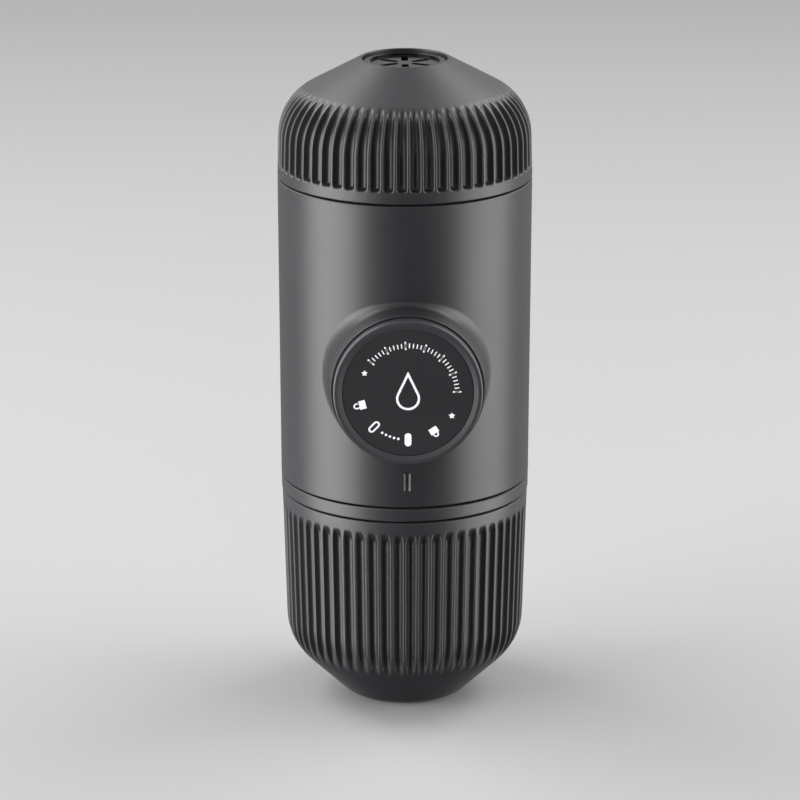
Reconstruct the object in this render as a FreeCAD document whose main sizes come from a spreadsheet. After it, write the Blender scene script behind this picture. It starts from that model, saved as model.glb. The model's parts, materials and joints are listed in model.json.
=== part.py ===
"""Handheld manual espresso maker, as separate pieces.

The maker stands on its cup. Its main axis is Z, the pump's axis is level and the knob
faces -Y. Lengths are in millimetres, with the origin at the middle of the cup's foot.

From the bottom up: the cup, the water tank inside it, the housing with the pump, and the
outlet head over the filter basket.
"""

import FreeCAD, Part
import math
import operator
import os
from types import SimpleNamespace

import Sketcher
from FreeCAD import Placement, Rotation, Vector

SIZES = {
    # Stack of the outer pieces
    "cup_height": 51.9,
    "seam_gap": 0.3,
    "collar_height": 3.3,
    "housing_height": 73.65,
    "head_height": 28.25,
    "body_radius": 30.0,
    "body_flare": 0.35,
    "edge_round": 0.4,
    "cut_margin": 1.0,
    # Cup
    "cup_mouth_inset": 0.22,
    "cup_taper": 1.03,
    "cup_slope_run": 14.35,
    "cup_slope_height": 13.9,
    "cup_corner_round": 14.0,
    "foot_round": 5.0,
    "cup_floor": 3.0,
    "cup_wall": 2.2,
    "cup_side_wall": 3.08,
    # Ribs of the cup and of the outlet head
    "cup_rib_count": 60,
    "head_rib_count": 60,
    "rib_depth": 1.0,
    "rib_groove_angle": 3.5,
    "rib_fade": 2.0,
    "cup_rib_low": 14.0,
    "cup_rib_drop": 3.3,
    "head_rib_low": 3.2,
    "head_rib_run": 7.1,
    # Water tank
    "tank_gap": 0.6,
    "tank_lift": 11.5,
    "tank_slope_run": 4.7,
    "tank_slope_height": 7.0,
    "tank_wall": 1.6,
    "collar_inset": 0.05,
    "ring_drop": 5.4,
    "ring_width": 2.4,
    "ring_depth": 0.6,
    "ring_clearance": 0.08,
    "vent_radius": 1.6,
    "vent_lip": 3.4,
    "vent_lip_height": 0.9,
    # Screw threads of the tank and of the outlet head
    "skirt_wall": 3.0,
    "neck_wall": 2.6,
    "tank_neck_height": 9.3,
    "head_neck_height": 10.55,
    "thread_lead": 24.0,
    "thread_starts": 4,
    "thread_height": 1.4,
    "thread_clearance": 0.4,
    "thread_root": 1.8,
    "thread_crest": 1.0,
    "thread_sunk": 0.3,
    "thread_rise": 3.7,
    "thread_entry": 1.1,
    # Housing
    "housing_wall": 2.4,
    "shoulder_thickness": 2.55,
    "inner_neck_drop": 8.95,
    "tick_height": 5.0,
    "tick_width": 1.6,
    "tick_round": 0.53,
    "tick_depth": 0.6,
    "tick_rise": 6.5,
    # Pump knob and the boss that it sits in
    "knob_radius": 17.45,
    "knob_proud": 2.7,
    "knob_wall": 1.55,
    "knob_gap": 0.25,
    "knob_round": 0.5,
    "knob_hold": 1.5,
    "rim_width": 2.1,
    "rim_depth": 0.4,
    "boss_proud": 7.15,
    "boss_wall": 1.0,
    "boss_lip": 0.5,
    "boss_depth": 24.0,
    "boss_spread": 4.2,
    "boss_fillet": 1.2,
    "well_depth": 23.8,
    "well_floor_thickness": 1.6,
    "stroke": 16.0,
    "unlock_angle": 45.0,
    "play_angle": 1.0,
    "lug_angle": 20.0,
    "lug_length": 1.8,
    "lug_depth": 1.15,
    "face_thickness": 0.6,
    "face_recess": 0.5,
    "knob_plate": 1.2,
    "knob_plate_gap": 0.4,
    "knob_tube_gap": 0.4,
    "knob_tube_wall": 1.3,
    "clip_cavity_radius": 8.0,
    # Pump
    "cylinder_bore_radius": 7.5,
    "liner_wall": 1.5,
    "block_wall": 3.5,
    "block_inset": 8.5,
    "block_chamfer": 2.0,
    "chamber_wall": 2.5,
    "piston_rest": 3.5,
    "piston_length": 6.0,
    "piston_gap": 0.2,
    "seal_width": 2.4,
    "seal_depth": 1.6,
    "fit_gap": 0.05,
    "rod_radius": 4.0,
    "rod_tip_radius": 3.0,
    "rod_end_land": 0.2,
    "flange_gap": 1.7,
    "flange_thickness": 3.0,
    "sleeve_inset": 4.4,
    "sleeve_wall": 2.4,
    "sleeve_setback": 4.0,
    "sleeve_flange": 1.6,
    "spigot_step": 0.65,
    "channel_depth": 1.1,
    "guide_screw_inset": 2.6,
    "guide_screw_count": 3,
    "guide_screw_angle": 90.0,
    "guide_screw_head_radius": 1.72,
    "spring_inset": 1.8,
    "spring_wire": 1.2,
    "spring_turns": 7,
    "washer_thickness": 0.5,
    "clip_radius": 4.2,
    "clip_groove_radius": 2.1,
    "clip_thickness": 0.5,
    "clip_opening": 3.36,
    "running_gap": 0.1,
    # Valves
    "valve_inset": 4.3,
    "column_radius": 6.2,
    "valve_pocket_radius": 4.0,
    "port_radius": 1.4,
    "port_wall": 0.3,
    "inlet_pocket_height": 9.5,
    "seat_height": 3.0,
    "ball_radius": 2.3,
    "valve_wire": 0.4,
    "valve_spring_radius": 1.84,
    "valve_spring_turns": 3,
    "outlet_seat_rise": 4.7,
    "outlet_pocket_height": 11.0,
    "cap_height": 3.0,
    "cap_wall": 1.2,
    "cap_floor": 0.6,
    "strainer_height": 0.8,
    "strainer_hole_radius": 0.4,
    "strainer_hole_rings": 2,
    "strainer_hole_pitch": 1.2,
    # Group head, under the filter basket
    "dish_gap": 0.4,
    "dish_height": 7.1,
    "dish_flange_inset": 0.8,
    "dish_flange": 2.6,
    "dish_rim": 2.2,
    "dish_recess_depth": 2.4,
    "post_radius": 5.0,
    "group_seal_rise": 2.2,
    "group_seal_width": 1.8,
    "group_seal_depth": 1.08,
    "screen_inset": 0.6,
    "screen_thickness": 0.6,
    "screen_hole_radius": 0.7,
    "screen_hole_rings": 3,
    "screen_hole_margin": 4.4,
    "gasket_height": 1.7,
    "gasket_width": 2.6,
    "seat_gap": 0.3,
    # Filter basket
    "basket_gap": 0.7,
    "basket_flange_width": 1.7,
    "basket_flange": 0.8,
    "basket_wall": 0.6,
    "basket_hole_radius": 0.5,
    "basket_hole_rings": 5,
    "basket_hole_margin": 2.6,
    # Outlet head
    "head_taper": 0.45,
    "head_corner_drop": 10.4,
    "head_corner_round": 13.0,
    "spout_rim": 0.55,
    "head_ledge_gap": 2.0,
    "head_gasket_height": 1.4,
    "insert_drop": 9.6,
    "insert_plate": 2.1,
    "insert_ledge": 1.4,
    "insert_cone_height": 4.9,
    "insert_cone_width": 2.5,
    "insert_stem_radius": 9.9,
    "insert_recess": 0.6,
    "spout_gap": 0.25,
    "star_slots": 6,
    "star_angle": 30.0,
    "star_rim": 1.7,
    "star_margin": 1.5,
    "star_inner_radius": 1.9,
    "star_slot_width": 1.7,
    "star_slot_round": 0.76,
    "star_recess_depth": 0.6,
    "funnel_rim": 3.4,
    "funnel_rise": 3.0,
    "spout_floor": 2.0,
    # Pump base and its screws
    "base_thickness": 2.2,
    "base_inset": 1.7,
    "tank_gasket_height": 1.0,
    "gasket_gap": 0.25,
    "base_screw_inset": 4.3,
    "base_screw_count": 4,
    "base_screw_angle": 45.0,
    "base_boss_radius": 3.2,
    "base_boss_height": 6.5,
    "screw_shank_radius": 1.25,
    "screw_head_radius": 2.3,
    "screw_head_height": 1.1,
    "screw_length": 6.0,
}


class Size:
    """A length kept both as a formula on the sheet, to bind with, and as a number."""

    def __init__(self, formula, value):
        self.formula = formula
        self.value = value

    def joined(self, sign, left, right):
        """The sum, difference, product or quotient of two lengths."""
        work = {"+": operator.add, "-": operator.sub, "*": operator.mul, "/": operator.truediv}
        first, second = as_size(left), as_size(right)
        formula = f"({first.formula} {sign} {second.formula})"
        return Size(formula, work[sign](first.value, second.value))

    def __add__(self, other):
        return self.joined("+", self, other)

    def __radd__(self, other):
        return self.joined("+", other, self)

    def __sub__(self, other):
        return self.joined("-", self, other)

    def __rsub__(self, other):
        return self.joined("-", other, self)

    def __mul__(self, other):
        return self.joined("*", self, other)

    def __rmul__(self, other):
        return self.joined("*", other, self)

    def __truediv__(self, other):
        return self.joined("/", self, other)

    def __rtruediv__(self, other):
        return self.joined("/", other, self)

    def __neg__(self):
        return self.joined("-", 0, self)


def as_size(amount):
    """The amount itself, or a plain number made into a Size."""
    return amount if isinstance(amount, Size) else Size(str(amount), float(amount))


doc = FreeCAD.newDocument("espresso_maker")
sheet = doc.addObject("Spreadsheet::Sheet", "sizes")
for row, (alias, amount) in enumerate(SIZES.items(), start=1):
    sheet.set(f"A{row}", alias.replace("_", " "))
    sheet.set(f"B{row}", str(amount))
    sheet.setAlias(f"B{row}", alias)
doc.recompute()
dim = SimpleNamespace(**{alias: Size(f"sizes.{alias}", value) for alias, value in SIZES.items()})

pieces = []

# Ways to draw and build


def bind(thing, name, amount):
    """Sets one property, tied to the sheet where the amount comes from it."""
    if isinstance(amount, Size):
        thing.setExpression(name, amount.formula)


def origin_part(body, role):
    """A plane or axis of the body's own origin."""
    return next(part for part in body.Origin.OriginFeatures if part.Role == role)


def new_body(label, lift=0, back=0, level=False):
    """A new piece, raised by lift and set back by back, with its axis along -Y if level."""
    body = doc.addObject("PartDesign::Body", label)
    body.Label = label
    turned = Rotation(Vector(1, 0, 0), 90 if level else 0)
    body.Placement = Placement(Vector(0, as_size(back).value, as_size(lift).value), turned)
    bind(body, "Placement.Base.y", back)
    bind(body, "Placement.Base.z", lift)
    pieces.append(body)
    return body


def new_sketch(body, plane="XZ_Plane", across=0, up=0, out=0, swing=0):
    """A sketch on one of the body's planes, moved in the plane and out of it."""
    sketch = body.newObject("Sketcher::SketchObject", f"{body.Label}_sketch")
    sketch.AttachmentSupport = [(origin_part(body, plane), "")]
    sketch.MapMode = "FlatFace"
    offsets = [across, up, out]
    start = Vector(*[as_size(offset).value for offset in offsets])
    pivot = Vector(0, 0, 1) if plane == "XY_Plane" else Vector(0, 1, 0)
    sketch.AttachmentOffset = Placement(start, Rotation(pivot, as_size(swing).value))
    for letter, offset in zip("xyz", offsets):
        bind(sketch, f"AttachmentOffset.Base.{letter}", offset)
    bind(sketch, "AttachmentOffset.Rotation.Angle", swing)
    return sketch


def place_point(sketch, geometry, end, across, up):
    """Ties one point of the sketch to its place."""
    for amount, kind, axis in ((across, "DistanceX", -2), (up, "DistanceY", -1)):
        if as_size(amount).value == 0:
            sketch.addConstraint(Sketcher.Constraint("PointOnObject", geometry, end, axis))
            continue
        value = as_size(amount).value
        number = sketch.addConstraint(Sketcher.Constraint(kind, -1, 1, geometry, end, value))
        bind(sketch, f"Constraints[{number}]", amount)


def disc(sketch, across, up, radius):
    """Adds a circle."""
    centre = Vector(as_size(across).value, as_size(up).value, 0)
    circle = sketch.addGeometry(Part.Circle(centre, Vector(0, 0, 1), as_size(radius).value))
    place_point(sketch, circle, 3, across, up)
    value = as_size(radius).value
    number = sketch.addConstraint(Sketcher.Constraint("Radius", circle, value))
    bind(sketch, f"Constraints[{number}]", radius)


def corner_arc(before, here, after, radius):
    """Where a round corner starts and ends, its arc, and whether it turns left."""
    back = (before - here).normalize()
    ahead = (after - here).normalize()
    opening = back.getAngle(ahead)
    reach = radius / math.tan(opening / 2)
    start, end = here + back * reach, here + ahead * reach
    centre = here + (back + ahead).normalize() * (radius / math.sin(opening / 2))
    left = (here - before).cross(after - here).z > 0
    first, last = (start, end) if left else (end, start)
    angles = [math.atan2(spot.y - centre.y, spot.x - centre.x) for spot in (first, last)]
    circle = Part.Circle(centre, Vector(0, 0, 1), radius)
    return start, end, Part.ArcOfCircle(circle, *angles), left


def outline(sketch, corners):
    """Closes straight edges through corners, each (across, up) or (across, up, radius)."""
    spots = [Vector(as_size(c[0]).value, as_size(c[1]).value, 0) for c in corners]
    count = len(corners)
    rounds = {}
    for i, corner in enumerate(corners):
        if len(corner) == 3:
            before, after = spots[i - 1], spots[(i + 1) % count]
            rounds[i] = corner_arc(before, spots[i], after, as_size(corner[2]).value)
    edges = []
    for i in range(count):
        j = (i + 1) % count
        start = rounds[i][1] if i in rounds else spots[i]
        end = rounds[j][0] if j in rounds else spots[j]
        edges.append(sketch.addGeometry(Part.LineSegment(start, end)))
    for i, corner in enumerate(corners):
        coming, going = edges[i - 1], edges[i]
        if i not in rounds:
            sketch.addConstraint(Sketcher.Constraint("Coincident", coming, 2, going, 1))
            place_point(sketch, going, 1, corner[0], corner[1])
            continue
        _, _, shape, left = rounds[i]
        arc = sketch.addGeometry(shape)
        first, last = (1, 2) if left else (2, 1)
        sketch.addConstraint(Sketcher.Constraint("Tangent", coming, 2, arc, first))
        sketch.addConstraint(Sketcher.Constraint("Tangent", arc, last, going, 1))
        value = as_size(corner[2]).value
        number = sketch.addConstraint(Sketcher.Constraint("Radius", arc, value))
        bind(sketch, f"Constraints[{number}]", corner[2])
        point = sketch.addGeometry(Part.Point(spots[i]), True)
        sketch.addConstraint(Sketcher.Constraint("PointOnObject", point, 1, coming))
        sketch.addConstraint(Sketcher.Constraint("PointOnObject", point, 1, going))
        place_point(sketch, point, 1, corner[0], corner[1])


def turn(body, corners, cut=False, angle=360, axis="V_Axis", **where):
    """Turns an outline about an axis of its sketch, as material or as a cut."""
    sketch = new_sketch(body, **where)
    outline(sketch, corners)
    kind = "PartDesign::Groove" if cut else "PartDesign::Revolution"
    feature = body.newObject(kind, f"{body.Label}_turned")
    feature.Profile = sketch
    feature.ReferenceAxis = (sketch, [axis])
    feature.Angle = as_size(angle).value
    bind(feature, "Angle", angle)
    feature.Midplane = as_size(angle).value != 360
    body.Tip = feature
    return feature


def turn_on_knob_axis(body, corners, cut=False):
    """Turns (out, radius) corners about the pump's level axis, in an upright piece."""
    mirrored = [(-corner[0], *corner[1:]) for corner in corners]
    where = {"plane": "YZ_Plane", "up": knob_axis_height}
    return turn(body, mirrored, cut, axis="H_Axis", **where)


def extrude(body, draw, length, cut=False, both=False, ahead=False, **where):
    """Pads or pockets what draw puts in a new sketch, a pocket backwards unless ahead."""
    sketch = new_sketch(body, **where)
    draw(sketch)
    kind = "PartDesign::Pocket" if cut else "PartDesign::Pad"
    feature = body.newObject(kind, f"{body.Label}_extruded")
    feature.Profile = sketch
    feature.Length = as_size(length).value
    bind(feature, "Length", length)
    feature.Midplane = both
    feature.Reversed = cut and not both and not ahead
    body.Tip = feature
    return feature


def pillar(body, radius, length, place=(0, 0), **how):
    """A round pad or pocket."""

    def draw(sketch):
        disc(sketch, place[0], place[1], radius)

    return extrude(body, draw, length, **how)


def around(body, feature, count):
    """Repeats a feature evenly about the body's Z axis."""
    pattern = body.newObject("PartDesign::PolarPattern", f"{body.Label}_pattern")
    pattern.Originals = [feature]
    pattern.Axis = (origin_part(body, "Z_Axis"), [""])
    pattern.Angle = 360
    pattern.Occurrences = int(as_size(count).value)
    bind(pattern, "Occurrences", count)
    body.Tip = pattern
    return pattern


def coil(body, draw, pitch, rise, **where):
    """Sweeps what draw puts in a new sketch up a right-hand helix."""
    sketch = new_sketch(body, **where)
    draw(sketch)
    feature = body.newObject("PartDesign::AdditiveHelix", f"{body.Label}_helix")
    feature.Profile = sketch
    feature.ReferenceAxis = (sketch, ["V_Axis"])
    feature.Mode = "pitch-height-angle"
    feature.Pitch = as_size(pitch).value
    feature.Height = as_size(rise).value
    bind(feature, "Pitch", pitch)
    bind(feature, "Height", rise)
    body.Tip = feature
    return feature


def thread(body, wall, crest, middle):
    """Ridges of the coarse thread, from inside the wall to the crest, starting at middle."""
    sunk = dim.thread_sunk if crest.value < wall.value else -dim.thread_sunk
    root, tip = dim.thread_root / 2, dim.thread_crest / 2
    corners = [
        (wall + sunk, middle - root),
        (crest, middle - tip),
        (crest, middle + tip),
        (wall + sunk, middle + root),
    ]

    def draw(sketch):
        outline(sketch, corners)

    ridge = coil(body, draw, dim.thread_lead, dim.thread_rise)
    around(body, ridge, dim.thread_starts)


def wire_spring(body, radius, wire, low, high, turns):
    """A round wire coiled between two heights."""

    def draw(sketch):
        disc(sketch, radius, low + wire / 2, wire / 2)

    rise = high - low - wire
    coil(body, draw, rise / turns, rise)


def sieve(body, rings, pitch, radius, top, depth):
    """Rings of small holes about the middle, six more in each ring than in the last."""
    for ring in range(1, int(rings.value) + 1):
        where = {"plane": "XY_Plane", "out": top, "ahead": True}
        hole = pillar(body, radius, depth, cut=True, place=(pitch * ring, 0), **where)
        around(body, hole, 6 * ring)


def root(amount):
    """The square root of a length's square or of a ratio."""
    return Size(f"sqrt({amount.formula})", math.sqrt(amount.value))


def larger(one, other):
    """The larger of two lengths."""
    formula = f"max({one.formula}; {other.formula})"
    return Size(formula, max(one.value, other.value))


def on_line(low, high, height):
    """The radius at one height of a straight wall between two (radius, height) ends."""
    return low[0] + (high[0] - low[0]) * (height - low[1]) / (high[1] - low[1])


def ring_place(radius, degrees):
    """Across and up of a place on a ring, at an angle from the across axis."""
    degrees = as_size(degrees)
    turned = math.radians(degrees.value)
    places = []
    for name, work in (("cos", math.cos), ("sin", math.sin)):
        value = radius.value * work(turned)
        formula = f"({radius.formula} * {name}({degrees.formula} * 1deg))"
        places.append(Size(formula, value) if abs(value) > 1e-9 else 0)
    return places


def ring_spot(radius, degrees):
    """Where an upright sketch stands for a feature on a ring about the body's Z axis."""
    across, back = ring_place(radius, degrees)
    return {"across": across, "out": 0 - as_size(back)}


# Radii that follow from the driving sizes

housing_high_radius = dim.body_radius + dim.body_flare
head_corner_radius = housing_high_radius - dim.head_taper
collar_radius = dim.body_radius - dim.collar_inset
cup_mouth_radius = dim.body_radius - dim.cup_mouth_inset
cup_corner_radius = cup_mouth_radius - dim.cup_taper
foot_radius = cup_corner_radius - dim.cup_slope_run
cup_bore_radius = cup_mouth_radius - dim.cup_side_wall
tank_radius = cup_bore_radius - dim.tank_gap
tank_foot_radius = tank_radius - dim.tank_slope_run
socket_radius = dim.body_radius - dim.skirt_wall
ridge_crest = socket_radius - dim.thread_clearance
neck_radius = ridge_crest - dim.thread_height
socket_crest = neck_radius + dim.thread_clearance
neck_bore_radius = neck_radius - dim.neck_wall
dish_radius = neck_bore_radius - dim.dish_gap
screen_radius = dish_radius - dim.screen_inset
basket_flange_radius = neck_bore_radius - dim.basket_gap
basket_radius = basket_flange_radius - dim.basket_flange_width
insert_radius = basket_flange_radius
insert_cone_radius = dim.insert_stem_radius + dim.insert_cone_width
spout_radius = dim.insert_stem_radius + dim.spout_gap
spout_rim_radius = spout_radius + dim.spout_rim
star_recess_radius = dim.insert_stem_radius - dim.star_rim
star_radius = star_recess_radius - dim.star_margin
base_radius = socket_radius - dim.base_inset
base_screw_ring = base_radius - dim.base_screw_inset
well_radius = dim.knob_radius + dim.knob_gap
boss_radius = well_radius + dim.boss_wall
boss_lip_radius = well_radius + dim.boss_lip
boss_foot_radius = boss_lip_radius + dim.boss_spread
flange_radius = well_radius - dim.flange_gap
sleeve_radius = flange_radius - dim.sleeve_inset
sleeve_inner = sleeve_radius - dim.sleeve_wall
spigot_radius = sleeve_radius - dim.spigot_step
guide_screw_ring = flange_radius - dim.guide_screw_inset
knob_tube_radius = sleeve_radius + dim.knob_tube_gap
liner_radius = dim.cylinder_bore_radius + dim.liner_wall
block_radius = liner_radius + dim.block_wall
rod_hole = dim.rod_radius + dim.fit_gap

# Heights, from the cup's foot

collar_low = dim.cup_height + dim.seam_gap
collar_high = collar_low + dim.collar_height
housing_low = collar_high + dim.seam_gap
shoulder = housing_low + dim.housing_height
head_low = shoulder + dim.seam_gap
head_top = head_low + dim.head_height
tank_neck_top = collar_high + dim.tank_neck_height
head_neck_top = shoulder + dim.head_neck_height
thread_pitch = dim.thread_lead / dim.thread_starts
base_low = tank_neck_top + dim.tank_gasket_height + 2 * dim.gasket_gap
base_high = base_low + dim.base_thickness
inlet_pocket_top = base_high + dim.inlet_pocket_height
knob_axis_height = larger(
    base_high + boss_radius + dim.running_gap,
    inlet_pocket_top + dim.port_wall + liner_radius,
)
outlet_seat_low = knob_axis_height + liner_radius + dim.outlet_seat_rise
outlet_cap_low = outlet_seat_low + dim.outlet_pocket_height
inner_neck_low = shoulder - dim.inner_neck_drop
dish_low = inner_neck_low - dim.dish_flange
dish_top = inner_neck_low + dim.dish_height
screen_top = dish_top + dim.screen_thickness
basket_low = screen_top + dim.gasket_height + dim.seat_gap
insert_ledge_height = head_top - dim.insert_drop
insert_low = insert_ledge_height - dim.insert_plate
basket_top = insert_low - dim.seat_gap
insert_cone_top = insert_ledge_height + dim.insert_cone_height
ball_rise = dim.seat_height + dim.ball_radius * (root(as_size(2)) - 1) + dim.fit_gap
ball_top = ball_rise + dim.ball_radius + dim.fit_gap

# Distances out from the main axis, along the pump's axis

boss_front = housing_high_radius + dim.boss_proud
knob_front = boss_front + dim.knob_proud
well_floor = knob_front - dim.well_depth
well_back = well_floor - dim.well_floor_thickness
liner_front = well_back - dim.flange_thickness
sleeve_front = knob_front - dim.sleeve_setback
sleeve_flange_front = well_floor + dim.sleeve_flange
plate_low = sleeve_front + dim.knob_plate_gap
washer_low = plate_low - dim.washer_thickness - dim.running_gap
clip_low = plate_low + dim.knob_plate + dim.running_gap
block_rear = dim.body_radius - dim.block_inset
chamber_end = block_rear - dim.chamber_wall
valve_setback = block_rear - dim.valve_inset


# Cup and tank


def cup():
    """The ribbed cup that the maker stands on."""
    body = new_body("cup")
    steep = dim.cup_slope_height / dim.cup_slope_run
    lean = root(1 + steep * steep)
    slope_height = (cup_bore_radius - foot_radius) * steep + dim.cup_wall * lean
    floor_radius = foot_radius + (dim.cup_floor - dim.cup_wall * lean) / steep
    turn(body, [
        (0, 0),
        (foot_radius, 0, dim.foot_round),
        (cup_corner_radius, dim.cup_slope_height, dim.cup_corner_round),
        (cup_mouth_radius, dim.cup_height, dim.edge_round),
        (cup_bore_radius, dim.cup_height, dim.edge_round),
        (cup_bore_radius, slope_height, dim.cup_corner_round - dim.cup_wall),
        (floor_radius, dim.cup_floor, dim.foot_round),
        (0, dim.cup_floor),
    ])
    foot_end = (cup_corner_radius, dim.cup_slope_height)
    mouth_end = (cup_mouth_radius, dim.cup_height)
    low = on_line(foot_end, mouth_end, dim.cup_rib_low)
    rib_high = dim.cup_height - dim.cup_rib_drop
    high = on_line(foot_end, mouth_end, rib_high)
    groove = turn(body, [
        (low + dim.rib_depth, dim.cup_rib_low - dim.rib_fade),
        (high + dim.rib_depth, rib_high + dim.rib_fade),
        (high - dim.rib_depth, rib_high - dim.rib_fade),
        (low - dim.rib_depth, dim.cup_rib_low + dim.rib_fade),
    ], cut=True, angle=dim.rib_groove_angle)
    around(body, groove, dim.cup_rib_count)


def water_tank():
    """The tank, with a collar that shows above the cup and a threaded neck."""
    body = new_body("water_tank")
    floor = dim.tank_lift + dim.tank_wall
    slope_top = dim.tank_lift + dim.tank_slope_height
    bore = tank_radius - dim.tank_wall
    turn(body, [
        (0, dim.tank_lift),
        (tank_foot_radius, dim.tank_lift, dim.tank_wall),
        (tank_radius, slope_top, dim.tank_wall * 2),
        (tank_radius, collar_low),
        (collar_radius, collar_low, dim.edge_round),
        (collar_radius, collar_high, dim.edge_round),
        (neck_radius, collar_high),
        (neck_radius, tank_neck_top, dim.edge_round),
        (neck_bore_radius, tank_neck_top),
        (neck_bore_radius, collar_high),
        (bore, collar_low - dim.tank_wall),
        (bore, slope_top + dim.edge_round, dim.tank_wall),
        (tank_foot_radius - dim.tank_wall / 2, floor, dim.tank_wall),
        (0, floor),
    ])
    ring_low = dim.cup_height - dim.ring_drop - dim.ring_width / 2
    turn(body, [
        (tank_radius - dim.ring_depth, ring_low),
        (tank_radius + dim.ring_depth, ring_low),
        (tank_radius + dim.ring_depth, ring_low + dim.ring_width),
        (tank_radius - dim.ring_depth, ring_low + dim.ring_width),
    ], cut=True)
    pillar(body, dim.vent_radius, dim.tank_wall, cut=True, plane="XY_Plane", out=dim.tank_lift)
    thread(body, neck_radius, ridge_crest, housing_low + dim.thread_entry + thread_pitch / 2)


def cup_grip_ring():
    """The rubber ring round the tank that the cup grips."""
    body = new_body("cup_grip_ring", lift=dim.cup_height - dim.ring_drop)
    inner = tank_radius - dim.ring_depth
    outer = cup_bore_radius - dim.ring_clearance
    half = dim.ring_width / 2
    turn(body, [
        (inner, -half),
        (outer, -half, half / 2),
        (outer, half, half / 2),
        (inner, half),
    ])


def tank_vent_valve():
    """A rubber button in the tank's floor that lets air in as the water is drawn."""
    body = new_body("tank_vent_valve", lift=dim.tank_lift)
    neck = dim.vent_radius - dim.fit_gap
    inside = dim.tank_wall
    turn(body, [
        (0, -dim.vent_lip_height),
        (dim.vent_lip, -dim.vent_lip_height, dim.edge_round),
        (dim.vent_lip, 0),
        (neck, 0),
        (neck, inside),
        (dim.vent_lip, inside),
        (dim.vent_radius, inside + dim.vent_lip_height),
        (0, inside + dim.vent_lip_height),
    ])


def tank_gasket():
    """The flat ring that seals the tank's mouth against the pump base."""
    body = new_body("tank_gasket", lift=tank_neck_top + dim.gasket_gap)
    inner = neck_bore_radius + dim.gasket_gap
    turn(body, [
        (inner, 0),
        (neck_radius, 0),
        (neck_radius, dim.tank_gasket_height),
        (inner, dim.tank_gasket_height),
    ])


# Housing


def main_housing():
    """The shell: a threaded skirt below, the pump's boss and well, and a threaded neck."""
    body = new_body("main_housing")
    low_end = (dim.body_radius, housing_low)
    high_end = (housing_high_radius, shoulder)
    inner_high = shoulder - dim.shoulder_thickness
    inside_low = (on_line(low_end, high_end, base_high) - dim.housing_wall, base_high)
    inside_high = (on_line(low_end, high_end, inner_high) - dim.housing_wall, inner_high)
    turn(body, [
        (socket_radius, housing_low, dim.edge_round),
        (dim.body_radius, housing_low, dim.edge_round),
        (housing_high_radius, shoulder, dim.edge_round),
        (neck_radius, shoulder),
        (neck_radius, head_neck_top, dim.edge_round),
        (neck_bore_radius, head_neck_top, dim.edge_round),
        (neck_bore_radius, inner_neck_low),
        (neck_radius, inner_neck_low),
        (neck_radius, inner_high),
        inside_high,
        inside_low,
        (socket_radius, base_high),
    ])
    turn_on_knob_axis(body, [
        (boss_front - dim.boss_depth, 0),
        (boss_front - dim.boss_depth, boss_foot_radius),
        (boss_front, boss_lip_radius, dim.edge_round),
        (boss_front, 0),
    ])
    doc.recompute()
    soften_boss(body)
    turn(body, [
        (0, housing_low + dim.thread_entry),
        (socket_radius, housing_low + dim.thread_entry),
        (socket_radius, base_high),
        inside_low,
        inside_high,
        (0, inner_high),
    ], cut=True)
    turn_on_knob_axis(body, [
        (well_back, 0),
        (well_back, boss_radius),
        (housing_high_radius, boss_radius),
        (housing_high_radius, 0),
    ])
    turn_on_knob_axis(body, [
        (well_floor, 0),
        (well_floor, well_radius),
        (boss_front + dim.knob_gap, well_radius),
        (boss_front + dim.knob_gap, 0),
    ], cut=True)
    front = {"up": knob_axis_height, "out": well_floor, "cut": True, "ahead": True}
    pillar(body, spigot_radius + dim.fit_gap, dim.housing_wall, **front)
    for spot in guide_screw_spots():
        pillar(body, dim.screw_shank_radius + dim.fit_gap, dim.housing_wall, spot, **front)
    tick(body)
    screw_bosses(body)
    thread(body, socket_radius, socket_crest, housing_low + dim.thread_entry)
    head_thread = head_low + dim.thread_entry + thread_pitch / 2
    thread(body, neck_radius, ridge_crest, head_thread)


def guide_screw_spots():
    """Where the guide's screws stand round the knob's axis."""
    step = 360 / dim.guide_screw_count
    turns = range(int(dim.guide_screw_count.value))
    return [ring_place(guide_screw_ring, dim.guide_screw_angle + step * i) for i in turns]


def soften_boss(body):
    """Rounds the line where the boss leaves the shell."""
    names = []
    for number, edge in enumerate(body.Shape.Edges, start=1):
        middle = edge.valueAt((edge.FirstParameter + edge.LastParameter) / 2)
        from_axis = math.hypot(middle.x, middle.y)
        from_knob_axis = math.hypot(middle.x, middle.z - knob_axis_height.value)
        on_shell = abs(from_axis - dim.body_radius.value) < 2 * dim.body_flare.value
        on_boss = boss_lip_radius.value < from_knob_axis < boss_foot_radius.value
        if middle.y < 0 and on_shell and on_boss:
            names.append(f"Edge{number}")
    joined = body.Tip
    fillet = body.newObject("PartDesign::Fillet", "boss_fillet")
    fillet.Base = (joined, names)
    fillet.Radius = dim.boss_fillet.value
    bind(fillet, "Radius", dim.boss_fillet)
    body.Tip = fillet


def tick(body):
    """A short upright mark sunk in the shell under the knob."""
    half_width = dim.tick_width / 2
    half_height = dim.tick_height / 2
    middle = housing_low + dim.tick_rise

    def draw(sketch):
        outline(sketch, [
            (-half_width, middle - half_height, dim.tick_round),
            (half_width, middle - half_height, dim.tick_round),
            (half_width, middle + half_height, dim.tick_round),
            (-half_width, middle + half_height, dim.tick_round),
        ])

    out = dim.body_radius + dim.tick_depth
    extrude(body, draw, dim.tick_depth * 2, cut=True, ahead=True, out=out)


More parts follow.
